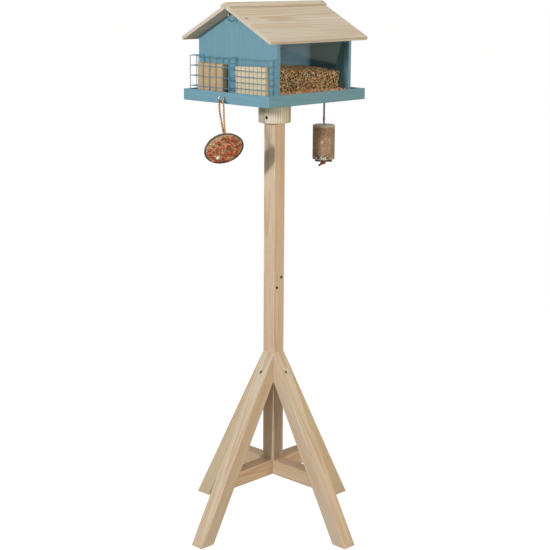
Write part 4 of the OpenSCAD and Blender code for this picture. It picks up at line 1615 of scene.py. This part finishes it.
@dataclass
class SuetBlock:
    """A cast block of suet behind the mesh of a cage, with blunt crumbly edges and grain in its faces.

    Attributes:
        node: The CAD node that it replaces.
        body: The body that it rides on.
        size: Its thickness, width and height, in millimetres.
        finish: Its cast fat.
        slot: The record's material slot; not used.
        tilt: How far its far end leans down, in degrees.
        slack: How much smaller than its size it is cast, so that its rough faces stay inside that size.
        edge: Width of its blunt edges.
        margin: Distance of the grain from its edges.
    """

    node: str
    body: str
    size: Point
    finish: Crumb
    slot: str
    tilt: float = 0.0
    slack: float = 0.8
    edge: float = 2.4
    margin: float = 3.0

    def place(self) -> Matrix:
        """Works out where the block stands, from the CAD node's box.

        Returns:
            The place of the middle of its foot, in metres.
        """
        low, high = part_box(self.node)
        lean = math.radians(self.tilt)
        foot = Vector(
            (
                (low.x + high.x) / 2,
                (low.y + high.y) / 2 - self.size[2] / 2 * math.sin(lean) * MM,
                low.z + self.size[1] / 2 * math.sin(lean) * MM,
            )
        )
        return Matrix.Translation(foot) @ Matrix.Rotation(-lean, 4, "X")

    def build(self, loose: bpy.types.Material) -> None:
        """Models the block and its grain.

        Args:
            loose: Material of the grain.
        """
        place = self.place()
        t, w, h = self.size
        scale = (Vector(self.size) - Vector((self.slack,) * 3)) * MM
        bpy.ops.mesh.primitive_cube_add(size=1.0, location=(0, 0, h / 2 * MM), scale=scale)
        block = bpy.context.object
        bpy.ops.object.transform_apply(location=True, scale=True)
        with editing(block):
            bpy.ops.mesh.bevel(offset=self.edge * MM, segments=3, affect="EDGES")
            bpy.ops.mesh.select_all(action="SELECT")
            bpy.ops.mesh.subdivide(number_cuts=24)
        roughen(block, 9.0, 0.7, 0.55)
        roughen(block, 1.6, 0.35, 0.6)
        block.matrix_world = place
        settle(block, f"{self.node}_cast", 40)
        paint(block, self.finish.material())
        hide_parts(self.node)
        rng = random.Random(self.node)
        pattern = Grain.WHEAT.model()
        wide, tall = Vector((0, w - 2 * self.margin, 0)), Vector((0, 0, h - 2 * self.margin))
        faces = []
        for sign in (-1, 1):
            corner = Vector((sign * t / 2, self.margin - w / 2, self.margin))
            faces.append(Patch(corner, wide, tall, Vector((sign, 0, 0))))
        places = [place @ p for face in faces for p in face.places(10.5, 1.2, rng, 0.2, (0.4, 0.65))]
        bits = copies(pattern, places, f"{self.node}_grain", [rng.random() for _ in places])
        settle(bits, f"{self.node}_grain")
        paint(bits, loose)
        for piece in (block, bits):
            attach(piece, self.body)
        discard(pattern)
        LOG.info("suet block %s", self.node)


# Twine


@dataclass
class Twine:
    """Two-ply twine laid along a route.

    Attributes:
        name: The piece's name.
        route: Corner points of the route in millimetres, from the eye of its hook.
        eye: That eye, in the row frame, in millimetres.
        diameter: Diameter over the plies, in millimetres.
        lay: Length of one turn of the plies, in millimetres.
        rings_every: Distance between the rings of the mesh, in millimetres.
    """

    name: str
    route: Sequence[Point]
    eye: Point
    diameter: float
    lay: float
    rings_every: float = 0.9

    def line(self) -> list[Vector]:
        """Lays a smooth curve through the route.

        Returns:
            Points of that curve, in millimetres, evenly spaced.
        """
        pts = [Vector(p) + Vector(self.eye) for p in self.route]
        fine = []
        for i in range(len(pts) - 1):
            a, b, c, d = pts[max(0, i - 1)], pts[i], pts[i + 1], pts[min(len(pts) - 1, i + 2)]
            for k in range(24):
                t = k / 24
                curve = (2 * a - 5 * b + 4 * c - d) * t**2 + (3 * b - a - 3 * c + d) * t**3
                fine.append(0.5 * (2 * b + (c - a) * t + curve))
        fine.append(pts[-1])
        gaps = [0.0]
        for a, b in zip(fine, fine[1:]):
            gaps.append(gaps[-1] + (b - a).length)
        steps = max(2, round(gaps[-1] / self.rings_every))
        wanted = np.linspace(0, gaps[-1], steps + 1)
        table = np.array(fine)
        return [Vector(v) for v in np.stack([np.interp(wanted, gaps, table[:, k]) for k in range(3)], 1)]

    def model(self) -> tuple[bpy.types.Object, list[Vector], float]:
        """Models the twine as a closed tube with two twisted lobes.

        Returns:
            The mesh object, the points that it follows in metres, and its length in metres.
        """
        line = self.line()
        sides, r = 16, self.diameter / 2
        points: list[Vector] = []
        shades: list[float] = []
        length = 0.0
        up = Vector((1, 0, 0))
        for i, at in enumerate(line):
            ahead = (line[min(i + 1, len(line) - 1)] - line[max(i - 1, 0)]).normalized()
            up = (up - up.dot(ahead) * ahead).normalized()
            side = ahead.cross(up)
            if i:
                length += (at - line[i - 1]).length
            end = min(i, len(line) - 1 - i)
            draw = 1.0 if end > 1 else 0.86
            for k in range(sides):
                angle = 2 * math.pi * k / sides
                lobe = abs(math.cos(angle - 2 * math.pi * length / self.lay))
                out = r * draw * (0.76 + 0.5 * lobe**0.8)
                points.append((at + out * (math.cos(angle) * up + math.sin(angle) * side)) * MM)
                # Painted shade: the grooves between the plies are dark and the tops of the plies light.
                shades.append(0.9 * lobe**1.2)
        faces: list[tuple[int, ...]] = []
        for i in range(len(line) - 1):
            for k in range(sides):
                a, b = i * sides + k, i * sides + (k + 1) % sides
                faces.append((a, b, b + sides, a + sides))
        faces.append(tuple(reversed(range(sides))))
        faces.append(tuple((len(line) - 1) * sides + k for k in range(sides)))
        piece = new_piece(self.name, [tuple(p) for p in points], faces)
        piece.data.polygons.foreach_set("use_smooth", [True] * len(faces))
        mark(piece, "shade", shades)
        point_outwards(piece)
        return piece, [p * MM for p in line], length * MM

    def register(self, piece: bpy.types.Object, path: list[Vector], length: float) -> None:
        """Does nothing.

        Args:
            piece: The modelled twine; not used.
            path: The points that it follows, in metres; not used.
            length: Its length, in metres; not used.
        """


# The eyes of the hooks on the end rims, in millimetres.
LEFT_EYE: Point = (-193.5, 0.0, 1180.0)
RIGHT_EYE: Point = (193.5, 0.0, 1180.0)


# Coconut


# The colours of peanut skins, each with its share of the nuts. The last is a blanched nut.
PEANUT_MIX = (
    (0.34, "#B05C3A"),
    (0.26, "#9C4D30"),
    (0.20, "#BE7048"),
    (0.14, "#843F27"),
    (0.03, "#E9DFC8"),
)


@dataclass
class Coconut:
    """Half a coconut filled with fat, peanuts and seed, hung by a loop of jute.

    Attributes:
        radius: Radius of the shell's rim.
        depth: Depth of the shell.
        wall: Thickness of the shell.
        centre: Middle of the rim, from the left eye.
        turn: Direction in which the open face looks, in degrees round from +X.
        tilt: Angle by which it looks down, in degrees.
        hole: Where the twine enters, from the left eye.
        hole_d: Diameter of that hole.
        entry: Height over the rim's middle at which the twine enters the fat.
        gap: Gap between the shell and the fat.
        sunk: How far the edge of the fat lies under the rim.
        crown: How far the fat rises at its middle.
        peanuts: Number of peanuts in the face.
        peanut: Half length, half width and half thickness of a peanut.
        spacing: Least distance between the middles of two peanuts.
        pressed: Radius of the part of the face that holds peanuts.
        seeds: Number of small seeds between them.
        sown: Radius of the part of the face that holds them.
        fibres: Number of coir fibres on the shell.
    """

    radius: float = 52.5
    depth: float = 30.0
    wall: float = 3.0
    centre: Point = (-3.0, -12.5, -117.5)
    turn: float = 243.5
    tilt: float = 35.5
    hole: tuple[float, float] = (2.0, -9.0)
    hole_d: float = 12.0
    entry: float = 22.0
    gap: float = 0.3
    sunk: float = 0.8
    crown: float = 3.4
    peanuts: int = 48
    peanut: Point = (5.5, 4.6, 4.3)
    spacing: float = 8.4
    pressed: float = 44.5
    seeds: int = 330
    sown: float = 46.0
    fibres: int = 900

    @property
    def ball(self) -> float:
        """Radius of the shell's sphere."""
        return (self.radius**2 + self.depth**2) / (2 * self.depth)

    @property
    def back(self) -> float:
        """Distance of that sphere's middle in front of the rim."""
        return self.ball - self.depth

    @property
    def inner(self) -> float:
        """Radius of the fat's sphere."""
        return self.ball - self.wall - self.gap

    @property
    def frame(self) -> Matrix:
        """Works out the place of the rim.

        Returns:
            A frame in metres, with +Z the way the open face looks.
        """
        at = (Vector(LEFT_EYE) + Vector(self.centre)) * MM
        return (
            Matrix.Translation(at)
            @ Matrix.Rotation(math.radians(self.turn), 4, "Z")
            @ Matrix.Rotation(math.radians(90 + self.tilt), 4, "Y")
        )

    def cut_hole(self, piece: bpy.types.Object) -> None:
        """Bores the hole for the twine.

        Args:
            piece: The shell or the fat, in place.
        """
        deep = 60.0
        at = (Vector(LEFT_EYE) + Vector((*self.hole, self.centre[2] + self.entry + deep / 2))) * MM
        radius = self.hole_d / 2 * MM
        bpy.ops.mesh.primitive_cylinder_add(vertices=24, radius=radius, depth=deep * MM, location=at)
        cutter = bpy.context.object
        take(piece)
        modifier = piece.modifiers.new("bore", "BOOLEAN")
        modifier.operation, modifier.solver, modifier.object = "DIFFERENCE", "EXACT", cutter
        bpy.ops.object.modifier_apply(modifier=modifier.name)
        discard(cutter)

    def shell(self) -> bpy.types.Object:
        """Models the husky shell: a sphere cut at the rim, given its wall, then roughened.

        Returns:
            The shell, with its hole.
        """
        radius, at = (self.ball - 0.5) * MM, (0, 0, self.back * MM)
        bpy.ops.mesh.primitive_uv_sphere_add(segments=96, ring_count=64, radius=radius, location=at)
        shell = bpy.context.object
        bpy.ops.object.transform_apply(location=True)
        with editing(shell):
            bpy.ops.mesh.bisect(plane_co=(0, 0, 0), plane_no=(0, 0, 1), clear_outer=True, use_fill=False)
        wall = shell.modifiers.new("wall", "SOLIDIFY")
        wall.thickness, wall.offset = (self.wall - 0.6) * MM, -1.0
        bpy.ops.object.modifier_apply(modifier=wall.name)
        with editing(shell):
            bpy.ops.mesh.subdivide(number_cuts=1)
        roughen(shell, 5.0, 0.9, 0.55)
        roughen(shell, 1.4, 0.6, 0.55)
        shell.matrix_world = self.frame
        settle(shell, "coconut_husk", 50)
        self.cut_hole(shell)
        inverse = self.frame.inverted()
        values = []
        for vertex in shell.data.vertices:
            p = (inverse @ vertex.co) / MM
            streak = noise.noise(Vector((math.atan2(p.y, p.x) * 9, 0.0, p.z * 0.05)))
            rim = max(0.0, min(1.0, (p.z + 3.0) / 3.0))
            values.append(max(0.0, min(1.0, 0.45 + 0.5 * streak - 0.6 * rim)))
        mark(shell, "shade", values)
        return shell

    def hairs(self, rng: random.Random) -> bpy.types.Object:
        """Models the coir fibres that lie along the outside of the shell.

        Args:
            rng: Source of chance.

        Returns:
            The fibres, as one piece.
        """
        bpy.ops.mesh.primitive_cylinder_add(vertices=4, radius=0.16 * MM, depth=1.0 * MM)
        pattern = bpy.context.object
        edge = math.acos(-self.back / self.ball)
        places = []
        for _ in range(self.fibres):
            spin = rng.uniform(0, 2 * math.pi)
            drop = rng.uniform(edge + math.radians(5), math.radians(172))
            out = self.ball + rng.uniform(-0.7, -0.1)
            level = Vector((math.cos(spin), math.sin(spin), 0))
            at = level * out * math.sin(drop) + Vector((0, 0, self.back + out * math.cos(drop)))
            meridian = level * math.cos(drop) - Vector((0, 0, math.sin(drop)))
            way = (meridian + 0.25 * Vector([rng.uniform(-1, 1) for _ in range(3)])).normalized()
            turn = way.to_track_quat("Z", "Y").to_matrix().to_4x4()
            long = Matrix.Diagonal((rng.uniform(0.7, 1.5), rng.uniform(0.7, 1.5), rng.uniform(4.0, 9.0), 1.0))
            places.append(self.frame @ Matrix.Translation(at * MM) @ turn @ long)
        hairs = copies(pattern, places, "coconut_coir", [rng.uniform(0.2, 1.0) for _ in places])
        discard(pattern)
        return settle(hairs, "coconut_coir")

    def fat(self) -> bpy.types.Object:
        """Models the fat: a ball cut at the rim, its face inset ring by ring and crowned.

        Returns:
            The fat, with its hole.
        """
        radius, at, cut = self.inner * MM, (0, 0, self.back * MM), (0, 0, -self.sunk * MM)
        bpy.ops.mesh.primitive_uv_sphere_add(segments=96, ring_count=48, radius=radius, location=at)
        fat = bpy.context.object
        bpy.ops.object.transform_apply(location=True)
        with editing(fat):
            bpy.ops.mesh.bisect(plane_co=cut, plane_no=(0, 0, 1), clear_outer=True, use_fill=True)
        with editing(fat, lambda centre, normal: normal.z > 0.99):
            for _ in range(24):
                bpy.ops.mesh.inset(thickness=2.0 * MM)
            bpy.ops.mesh.poke()
        for vertex in fat.data.vertices:
            if vertex.co.z > -(self.sunk + 0.1) * MM:
                x, y = vertex.co.x / MM, vertex.co.y / MM
                share = self.inward(x, y)
                lump = noise.noise(Vector((x * 0.09, y * 0.09, 3.1)))
                lump += 0.5 * noise.noise(Vector((x * 0.35, y * 0.35, 8.2)))
                vertex.co.z += (self.crown * share**0.6 + 0.9 * lump * min(1.0, 3 * share)) * MM
        fat.matrix_world = self.frame
        settle(fat, "coconut_filling", 60)
        self.cut_hole(fat)
        return fat

    def inward(self, x: float, y: float) -> float:
        """How far inward a place on the fat's face lies, from 0 at its edge to 1 at its middle."""
        edge = math.sqrt(self.inner**2 - (self.back + self.sunk) ** 2)
        return max(0.0, 1 - (math.hypot(x, y) / edge) ** 2)

    def face_height(self, x: float, y: float) -> float:
        """Height of the fat's crowned face over the rim at a place on it, in millimetres."""
        return self.crown * self.inward(x, y) ** 0.6 - self.sunk

    def model_peanut(self) -> bpy.types.Object:
        """Models one peanut kernel about the origin: an egg with a blunt end and a small tip.

        Returns:
            A mesh object.
        """
        a, b, c = (v * MM for v in self.peanut)
        nut = lying_ball(14, 10, (a, b, c))
        with editing(nut, lambda centre, normal: centre.x > 2.5 * MM):
            bpy.ops.transform.resize(value=(1.0, 0.8, 0.8), center_override=(0, 0, 0))
        with editing(nut, lambda centre, normal: centre.x < -4.6 * MM):
            bpy.ops.transform.resize(value=(1.06, 0.7, 0.7), center_override=(0, 0, 0))
        bpy.ops.object.shade_smooth()
        return nut

    def anywhere(self, rng: random.Random, reach: float) -> Place:
        """Picks a place on the face, evenly over a disc.

        Args:
            rng: Source of chance.
            reach: Radius of the disc, in millimetres.

        Returns:
            The place, from the middle of the face.
        """
        r, a = reach * math.sqrt(rng.random()), rng.uniform(0, 2 * math.pi)
        return r * math.cos(a), r * math.sin(a)

    def nuts(self, rng: random.Random) -> bpy.types.Object:
        """Presses peanuts into the face, but for its lower edge, which is bare.

        Args:
            rng: Source of chance.

        Returns:
            The peanuts. The first is a blanched one, which takes the last colour of their mix.
        """
        spots: list[Place] = [(28.0, -12.0)]
        tries = 0
        while len(spots) < self.peanuts and tries < 6000:
            tries += 1
            x, y = self.anywhere(rng, self.pressed)
            bare = 0.55 * x + 0.83 * y < -33
            if not bare and all(math.hypot(x - u, y - v) > self.spacing for u, v in spots):
                spots.append((x, y))
        pattern = self.model_peanut()
        places = []
        for x, y in spots:
            turn = tumbled(rng, 0.4)
            at = Vector((x, y, self.face_height(x, y) + rng.uniform(-0.4, 1.4)))
            scale = Matrix.Scale(rng.uniform(0.85, 1.12), 4)
            places.append(self.frame @ Matrix.Translation(at * MM) @ turn @ scale)
        shades = [0.999] + [0.97 * rng.random() for _ in places[1:]]
        nuts = copies(pattern, places, "coconut_peanuts", shades)
        discard(pattern)
        return settle(nuts, "coconut_peanuts")

    def small_seed(self, rng: random.Random) -> bpy.types.Object:
        """Presses small seed into the face between the peanuts.

        Args:
            rng: Source of chance.

        Returns:
            The seed, as one piece.
        """
        pattern = Grain.WHEAT.model()
        places = []
        for _ in range(self.seeds):
            x, y = self.anywhere(rng, self.sown)
            turn = tumbled(rng, 0.5)
            at = Vector((x, y, self.face_height(x, y) - 0.5))
            scale = Matrix.Scale(rng.uniform(0.45, 0.8), 4)
            places.append(self.frame @ Matrix.Translation(at * MM) @ turn @ scale)
        seeds = copies(pattern, places, "coconut_seeds", [rng.random() for _ in places])
        discard(pattern)
        return settle(seeds, "coconut_seeds")

    def twine(self) -> Twine:
        """Lays the loop of jute on the route of the CAD cord.

        Returns:
            The twine, not yet modelled.
        """
        end = self.centre[2] + self.entry
        route = [
            (2, -6, end + 0.2), (2, -6, end + 9), (1.5, -5.5, -76), (1, -3, -64), (0.5, 0, -50),
            (0, 4, -34), (0, 6.5, -20), (0, 7, -8), (0, 5.5, 0), (0, 3, 3), (0, 0, 3.8), (0, -3, 3),
            (0, -6.5, 0), (0, -8.5, -8), (0, -9, -20), (0.5, -9, -34), (1, -9.5, -50),
            (1.5, -10.5, -66), (2, -11.5, -76), (2, -12, end + 9), (2, -12, end + 0.2),
        ]
        return Twine("coconut_jute", route, LEFT_EYE, 4.0, 15.0)

    def build(self) -> None:
        """Models and places the coconut in place of its CAD nodes."""
        rng = random.Random("coconut")
        husk = Fibre("coir_husk", "#8B6B4C", "#2A1E17", 1.6).material()
        shell = self.shell()
        paint(shell, husk)
        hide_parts("coconut_shell")
        hairs = self.hairs(rng)
        paint(hairs, husk)
        fat = self.fat()
        paint(fat, Crumb("meal_fat", "#B39672", "#D6C19C", "#8A603C", 1.8, 0.6, 0.25).material())
        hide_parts("coconut_fat")
        nuts = self.nuts(rng)
        paint(nuts, Kernels("peanut_skin", PEANUT_MIX, 0.42).material())
        seeds = self.small_seed(rng)
        paint(seeds, Kernels("small_seed", SEED_MIX, 0.55).material())
        twine = self.twine()
        loop, path, length = twine.model()
        settle(loop, "coconut_jute")
        paint(loop, Fibre("jute", "#D89C5E", "#6E4426").material())
        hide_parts("coconut_twine")
        slots = {"coconut_husk": (shell, hairs), "tan_suet": (fat, nuts, seeds), "jute_twine": (loop,)}
        for slot, pieces in slots.items():
            for piece in pieces:
                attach(piece, "coconut")
        twine.register(loop, path, length)
        LOG.info("coconut: twine %.3f m", length)


# Fat log


# The colours of the seed in the log, each with its share. The middle one is a dark husk.
LOG_MIX = (
    (0.25, "#6F5A45"),
    (0.20, "#A88860"),
    (0.25, "#2C2624"),
    (0.15, "#AD9C7C"),
    (0.15, "#A8673A"),
)


@dataclass
class FatLog:
    """A cylinder of fat and seed on a knotted twine, with a twig tied under it.

    Attributes:
        radius: Radius of the log.
        top: Height of its top, from the right eye.
        height: Its height.
        bore: Diameter of the hole along it.
        twig_d: Diameter of the twig.
        twig_l: Length of the twig.
        twig_turn: Direction of the twig, in degrees round from +X.
        twine_d: Diameter of the twine.
        knot: Height of the knot under the bight, from the right eye.
        proud: How far the wall stands out of the CAD log's, before it is roughened.
        lip: Height of the rounded edges.
        seeds: Number of seeds in the wall.
        husks: Number of dark husks near the foot.
    """

    radius: float = 30.0
    top: float = -87.0
    height: float = 96.0
    bore: float = 9.0
    twig_d: float = 6.5
    twig_l: float = 46.0
    twig_turn: float = -45.0
    twine_d: float = 2.4
    knot: float = -75.0
    proud: float = 0.5
    lip: float = 2.8
    seeds: int = 170
    husks: int = 26

    @property
    def base(self) -> Vector:
        """Middle of the log's foot, in millimetres."""
        return Vector(RIGHT_EYE) + Vector((0, 0, self.top - self.height))

    @property
    def twig_z(self) -> float:
        """Height of the twig's middle, from the right eye."""
        return self.top - self.height - self.twig_d / 2 - 0.9

    def body(self) -> bpy.types.Object:
        """Models the log by spinning its section round the bore, then roughening it.

        Returns:
            The log, with its meal bloom marked.
        """
        r, h, bore, lip = self.radius + self.proud, self.height, self.bore / 2, self.lip
        foot, flat = 0.2, r - 2.5
        outline: list[Place] = [(bore + (flat - bore) * k / 9, foot) for k in range(10)]
        outline += [(r - 0.8, 1.0), (r, lip)]
        outline += [(r, lip + (h - 2 * lip) * k / 36) for k in range(1, 37)]
        outline += [(r - 0.8, h - 1.0), (flat, h - foot)]
        outline += [(flat - (flat - bore) * k / 9, h - foot) for k in range(1, 10)]
        log = draw_outline([(x * MM, 0, z * MM) for x, z in [*outline, outline[0]]], closed=False)
        with editing(log):
            bpy.context.tool_settings.mesh_select_mode = (True, False, False)
            bpy.ops.mesh.select_all(action="SELECT")
            bpy.ops.mesh.remove_doubles(threshold=1e-6)
            bpy.ops.mesh.spin(steps=96, angle=2 * math.pi, center=(0, 0, 0), axis=(0, 0, 1))
            bpy.ops.mesh.select_all(action="SELECT")
            bpy.ops.mesh.remove_doubles(threshold=1e-6)
        point_outwards(log)
        roughen(log, 7.0, 0.7, 0.55)
        roughen(log, 2.4, 0.35, 0.55)
        values = []
        for vertex in log.data.vertices:
            x, y, z = (v / MM for v in vertex.co)
            patch = 0.5 + noise.noise(Vector((x * 0.12, y * 0.12, z * 0.05)))
            ends = max(0.0, (z - h + 7) / 5, (15 - z) / 12 * patch * 1.6)
            values.append(min(1.0, ends + 0.45 * max(0.0, patch - 0.55)))
        mark(log, "bloom", values)
        log.location = self.base * MM
        return settle(log, "fat_log_cast", 50)

    def flat_on_wall(self, rng: random.Random) -> tuple[Vector, Matrix]:
        """Picks a direction out of the log's wall, and a turn that lays a kernel flat on it.

        Args:
            rng: Source of chance.

        Returns:
            The direction and the turn.
        """
        a = rng.uniform(0, 2 * math.pi)
        out = Vector((math.cos(a), math.sin(a), 0))
        spin = Matrix.Rotation(rng.uniform(0, math.pi), 4, "Z")
        return out, out.to_track_quat("Z", "X").to_matrix().to_4x4() @ spin

    def bits(self, rng: random.Random) -> bpy.types.Object:
        """Sets seed in the log's wall, most of it near the foot, and dark husks at the foot.

        Args:
            rng: Source of chance.

        Returns:
            The seed and the husks, as one piece.
        """
        pattern, husk = Grain.WHEAT.model(), Grain.HEART.model()
        places, dark = [], []
        for _ in range(self.seeds):
            z = self.height * (rng.random() ** 1.7 * 0.94 + 0.03)
            out, turn = self.flat_on_wall(rng)
            at = self.base + out * (self.radius - 1.3) + Vector((0, 0, z))
            places.append(Matrix.Translation(at * MM) @ turn @ Matrix.Scale(rng.uniform(0.6, 1.0), 4))
        for _ in range(self.husks):
            out, turn = self.flat_on_wall(rng)
            at = self.base + out * (self.radius - 0.3) + Vector((0, 0, rng.uniform(3.5, 15.0)))
            dark.append(Matrix.Translation(at * MM) @ turn)
        loose = copies(pattern, places, "grains", [rng.random() for _ in places])
        black = copies(husk, dark, "husks", [0.55] * len(dark))
        bits = settle(join([loose, black]), "fat_log_seed")
        discard(pattern, husk)
        return bits

    def twig(self) -> bpy.types.Object:
        """Models the twig: a slim cylinder with a slight crook and swellings.

        Returns:
            The twig.
        """
        radius = (self.twig_d / 2 - 0.1) * MM
        bpy.ops.mesh.primitive_cylinder_add(vertices=18, radius=radius, depth=self.twig_l * MM)
        twig = bpy.context.object
        with editing(twig, lambda centre, normal: abs(normal.z) > 0.9):
            bpy.ops.mesh.inset(thickness=0.7 * MM)
        with editing(twig, lambda centre, normal: abs(normal.z) < 0.5):
            bpy.ops.mesh.subdivide(number_cuts=14)
        for vertex in twig.data.vertices:
            x, y, z = (v / MM for v in vertex.co)
            bark = noise.noise(Vector((x * 0.9, y * 0.9, z * 0.4)))
            swell = (1 + 0.1 * math.sin(z * 0.33) + 0.08 * bark) * (0.94 if z > 8 else 1.0)
            crook = 0.5 * math.sin(z * 0.1)
            vertex.co = Vector((x * swell + crook, y * swell, z)) * MM
        twig.rotation_euler = Euler((0, math.pi / 2, math.radians(self.twig_turn)))
        twig.location = (Vector(RIGHT_EYE) + Vector((0, 0, self.twig_z))) * MM
        return settle(twig, "log_perch_twig", 40)

    def twine(self) -> Twine:
        """Lays the twine on the route of the CAD cord.

        Returns:
            The twine, not yet modelled.
        """
        top, h, k = self.top, self.height, self.knot
        route = [
            (0, 1.5, -66), (0, 1.5, -58), (0, 1.5, -44), (0, 1.6, -26), (0, 2.8, -12), (0, 3.4, -4),
            (0, 2.6, 1.2), (0, 0, 3), (0, -2.6, 1.2), (0, -3.4, -4), (0, -2.8, -12), (0, -1.6, -26),
            (0, -1.5, -44), (0, -1.5, -58), (0, -1.2, -66), (0, 0, k + 4), (0, 0, k - 4), (0, 0, top),
            (0, 0, top - h / 4), (0, 0, top - h / 2), (0, 0, top - h * 3 / 4), (0, 0, top - h - 0.2),
        ]
        return Twine("log_cord", route, RIGHT_EYE, self.twine_d, 14.0, 0.7)

    def knots(self) -> bpy.types.Object:
        """Models the wrap under the bight, the turns round the twig, and the bow with its frayed tails.

        Returns:
            The knots, as one piece.
        """
        d, r = self.twine_d, self.twig_d / 2 + self.twine_d / 2 + 0.1
        spin = math.radians(self.twig_turn)
        along = Vector((math.cos(spin), math.sin(spin), 0))
        across = Vector((-math.sin(spin), math.cos(spin), 0))
        middle = Vector((0, 0, self.twig_z))
        parts = []
        for x in (0.0, d * 0.95):
            turn = []
            for k in range(13):
                a = math.radians(-112 + 224 * k / 12)
                round_twig = across * r * math.sin(a) - Vector((0, 0, r * math.cos(a)))
                turn.append(tuple(middle + along * (x + 0.12 * k / 12) + round_twig))
            parts.append(Twine("turn", turn, RIGHT_EYE, d, 7.0, 0.7).model()[0])
        start = middle - Vector((0, 0, r))
        for way, drop, thick in ((-13.0, 10.5, 2.1), (-10.0, 8.5, 1.7), (-5.0, 7.0, 1.6), (1.5, 6.0, 1.8)):
            hang = [along * way * t - Vector((0, 0, drop * t**1.3)) for t in (0, 0.3, 0.6, 0.8, 1)]
            ends = [tuple(start + step) for step in hang]
            parts.append(Twine("tail", ends, RIGHT_EYE, d * thick, 7.0, 0.7).model()[0])
        for step, wide in ((-1.0, 3.0), (-4.0, 3.6), (2.2, 2.6)):
            bow = []
            for k in range(17):
                a = math.radians(400 * k / 16 - 90)
                reach = along * (step + wide * math.cos(a)) + across * (0.5 * step + 0.1 * k)
                bow.append(tuple(start + reach + Vector((0, 0, 2.4 * math.sin(a) - 1.6))))
            parts.append(Twine("bow", bow, RIGHT_EYE, d * 1.25, 7.0, 0.7).model()[0])
        wrap = []
        for k in range(61):
            a = 2 * math.pi * 6.2 * k / 60
            out = d * (0.98 - 0.35 * k / 60)
            wrap.append((out * math.cos(a), out * math.sin(a), self.knot + 9.0 - 19.0 * k / 60))
        parts.append(Twine("wrap", wrap, RIGHT_EYE, d * 0.9, 6.0, 0.7).model()[0])
        return settle(join(parts), "log_cord_knots")

    def build(self) -> None:
        """Models and places the log in place of its CAD nodes."""
        rng = random.Random("log")
        log = self.body()
        cast = Crumb("seed_fat", "#9D8264", "#B2A78F", "#4A3626", 2.6, 0.6, 0.35, 0.65, streaks=0.75)
        paint(log, cast.material())
        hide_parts("fat_log")
        bits = self.bits(rng)
        paint(bits, Kernels("log_seed", LOG_MIX).material())
        twig = self.twig()
        mark(twig, "shade", [0.4] * len(twig.data.vertices))
        paint(twig, Fibre("twig_bark", "#4A3326", "#1E140F", 1.2).material())
        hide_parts("log_twig")
        twine = self.twine()
        cord, path, length = twine.model()
        settle(cord, "log_cord")
        paint(cord, Fibre("aged_jute", "#A98474", "#4C3028").material())
        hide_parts("log_twine")
        knots = self.knots()
        paint(knots, Fibre("rusty_jute", "#A9683E", "#5E3420").material())
        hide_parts("log_knot")
        slots = {"grey_suet": (log, bits), "bark_twig": (twig,), "jute_twine": (cord, knots)}
        for slot, pieces in slots.items():
            for piece in pieces:
                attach(piece, "log")
        twine.register(cord, path, length)
        LOG.info("fat log: twine %.3f m", length)


# Whole


def write_sizes() -> None:
    """Updates the view layer, so that every piece's place is current.
    """
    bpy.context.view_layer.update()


def main() -> None:
    """Builds the studio, dresses the CAD nodes, models the loose pieces and reports every piece."""
    logging.basicConfig(level=logging.INFO, format="%(message)s")
    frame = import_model()
    Studio().build()
    joinery = Joinery(frame["nodes"])
    joinery.stand()
    joinery.house()
    joinery.cover()
    Hardware(frame["nodes"]).dress()
    Coconut().build()
    FatLog().build()
    loose = Kernels("loose_seed", SEED_MIX).material()
    # The seed bed is painted near black: painted shade in the gaps between the kernels.
    under = Crumb("seed_bed", "#2E2016", "#5A4028", "#1A110A", 2.6, 0.8, 0.3).material()
    for side in (-1, 1):
        SeedBay(side).build(loose, under)
    tan = Crumb("tan_suet", "#B79B70", "#CBB289", "#94744E", 1.8, 0.25, 0.2)
    pale = Crumb("pale_suet", "#D8C298", "#E6D6B4", "#B89C72", 1.8, 0.25, 0.2)
    SuetBlock("suet_coarse", "block_coarse", (16.5, 97.0, 88.0), tan, "tan_suet").build(loose)
    SuetBlock("suet_fine", "block_fine", (15.0, 108.0, 84.0), pale, "pale_suet", 2.0).build(loose)
    write_sizes()
    for piece in bpy.context.scene.objects:
        if piece.type == "MESH" and not piece.hide_render:
            LOG.info("%s: %d faces", piece.name, len(piece.data.polygons))


if __name__ == "__main__":
    main()
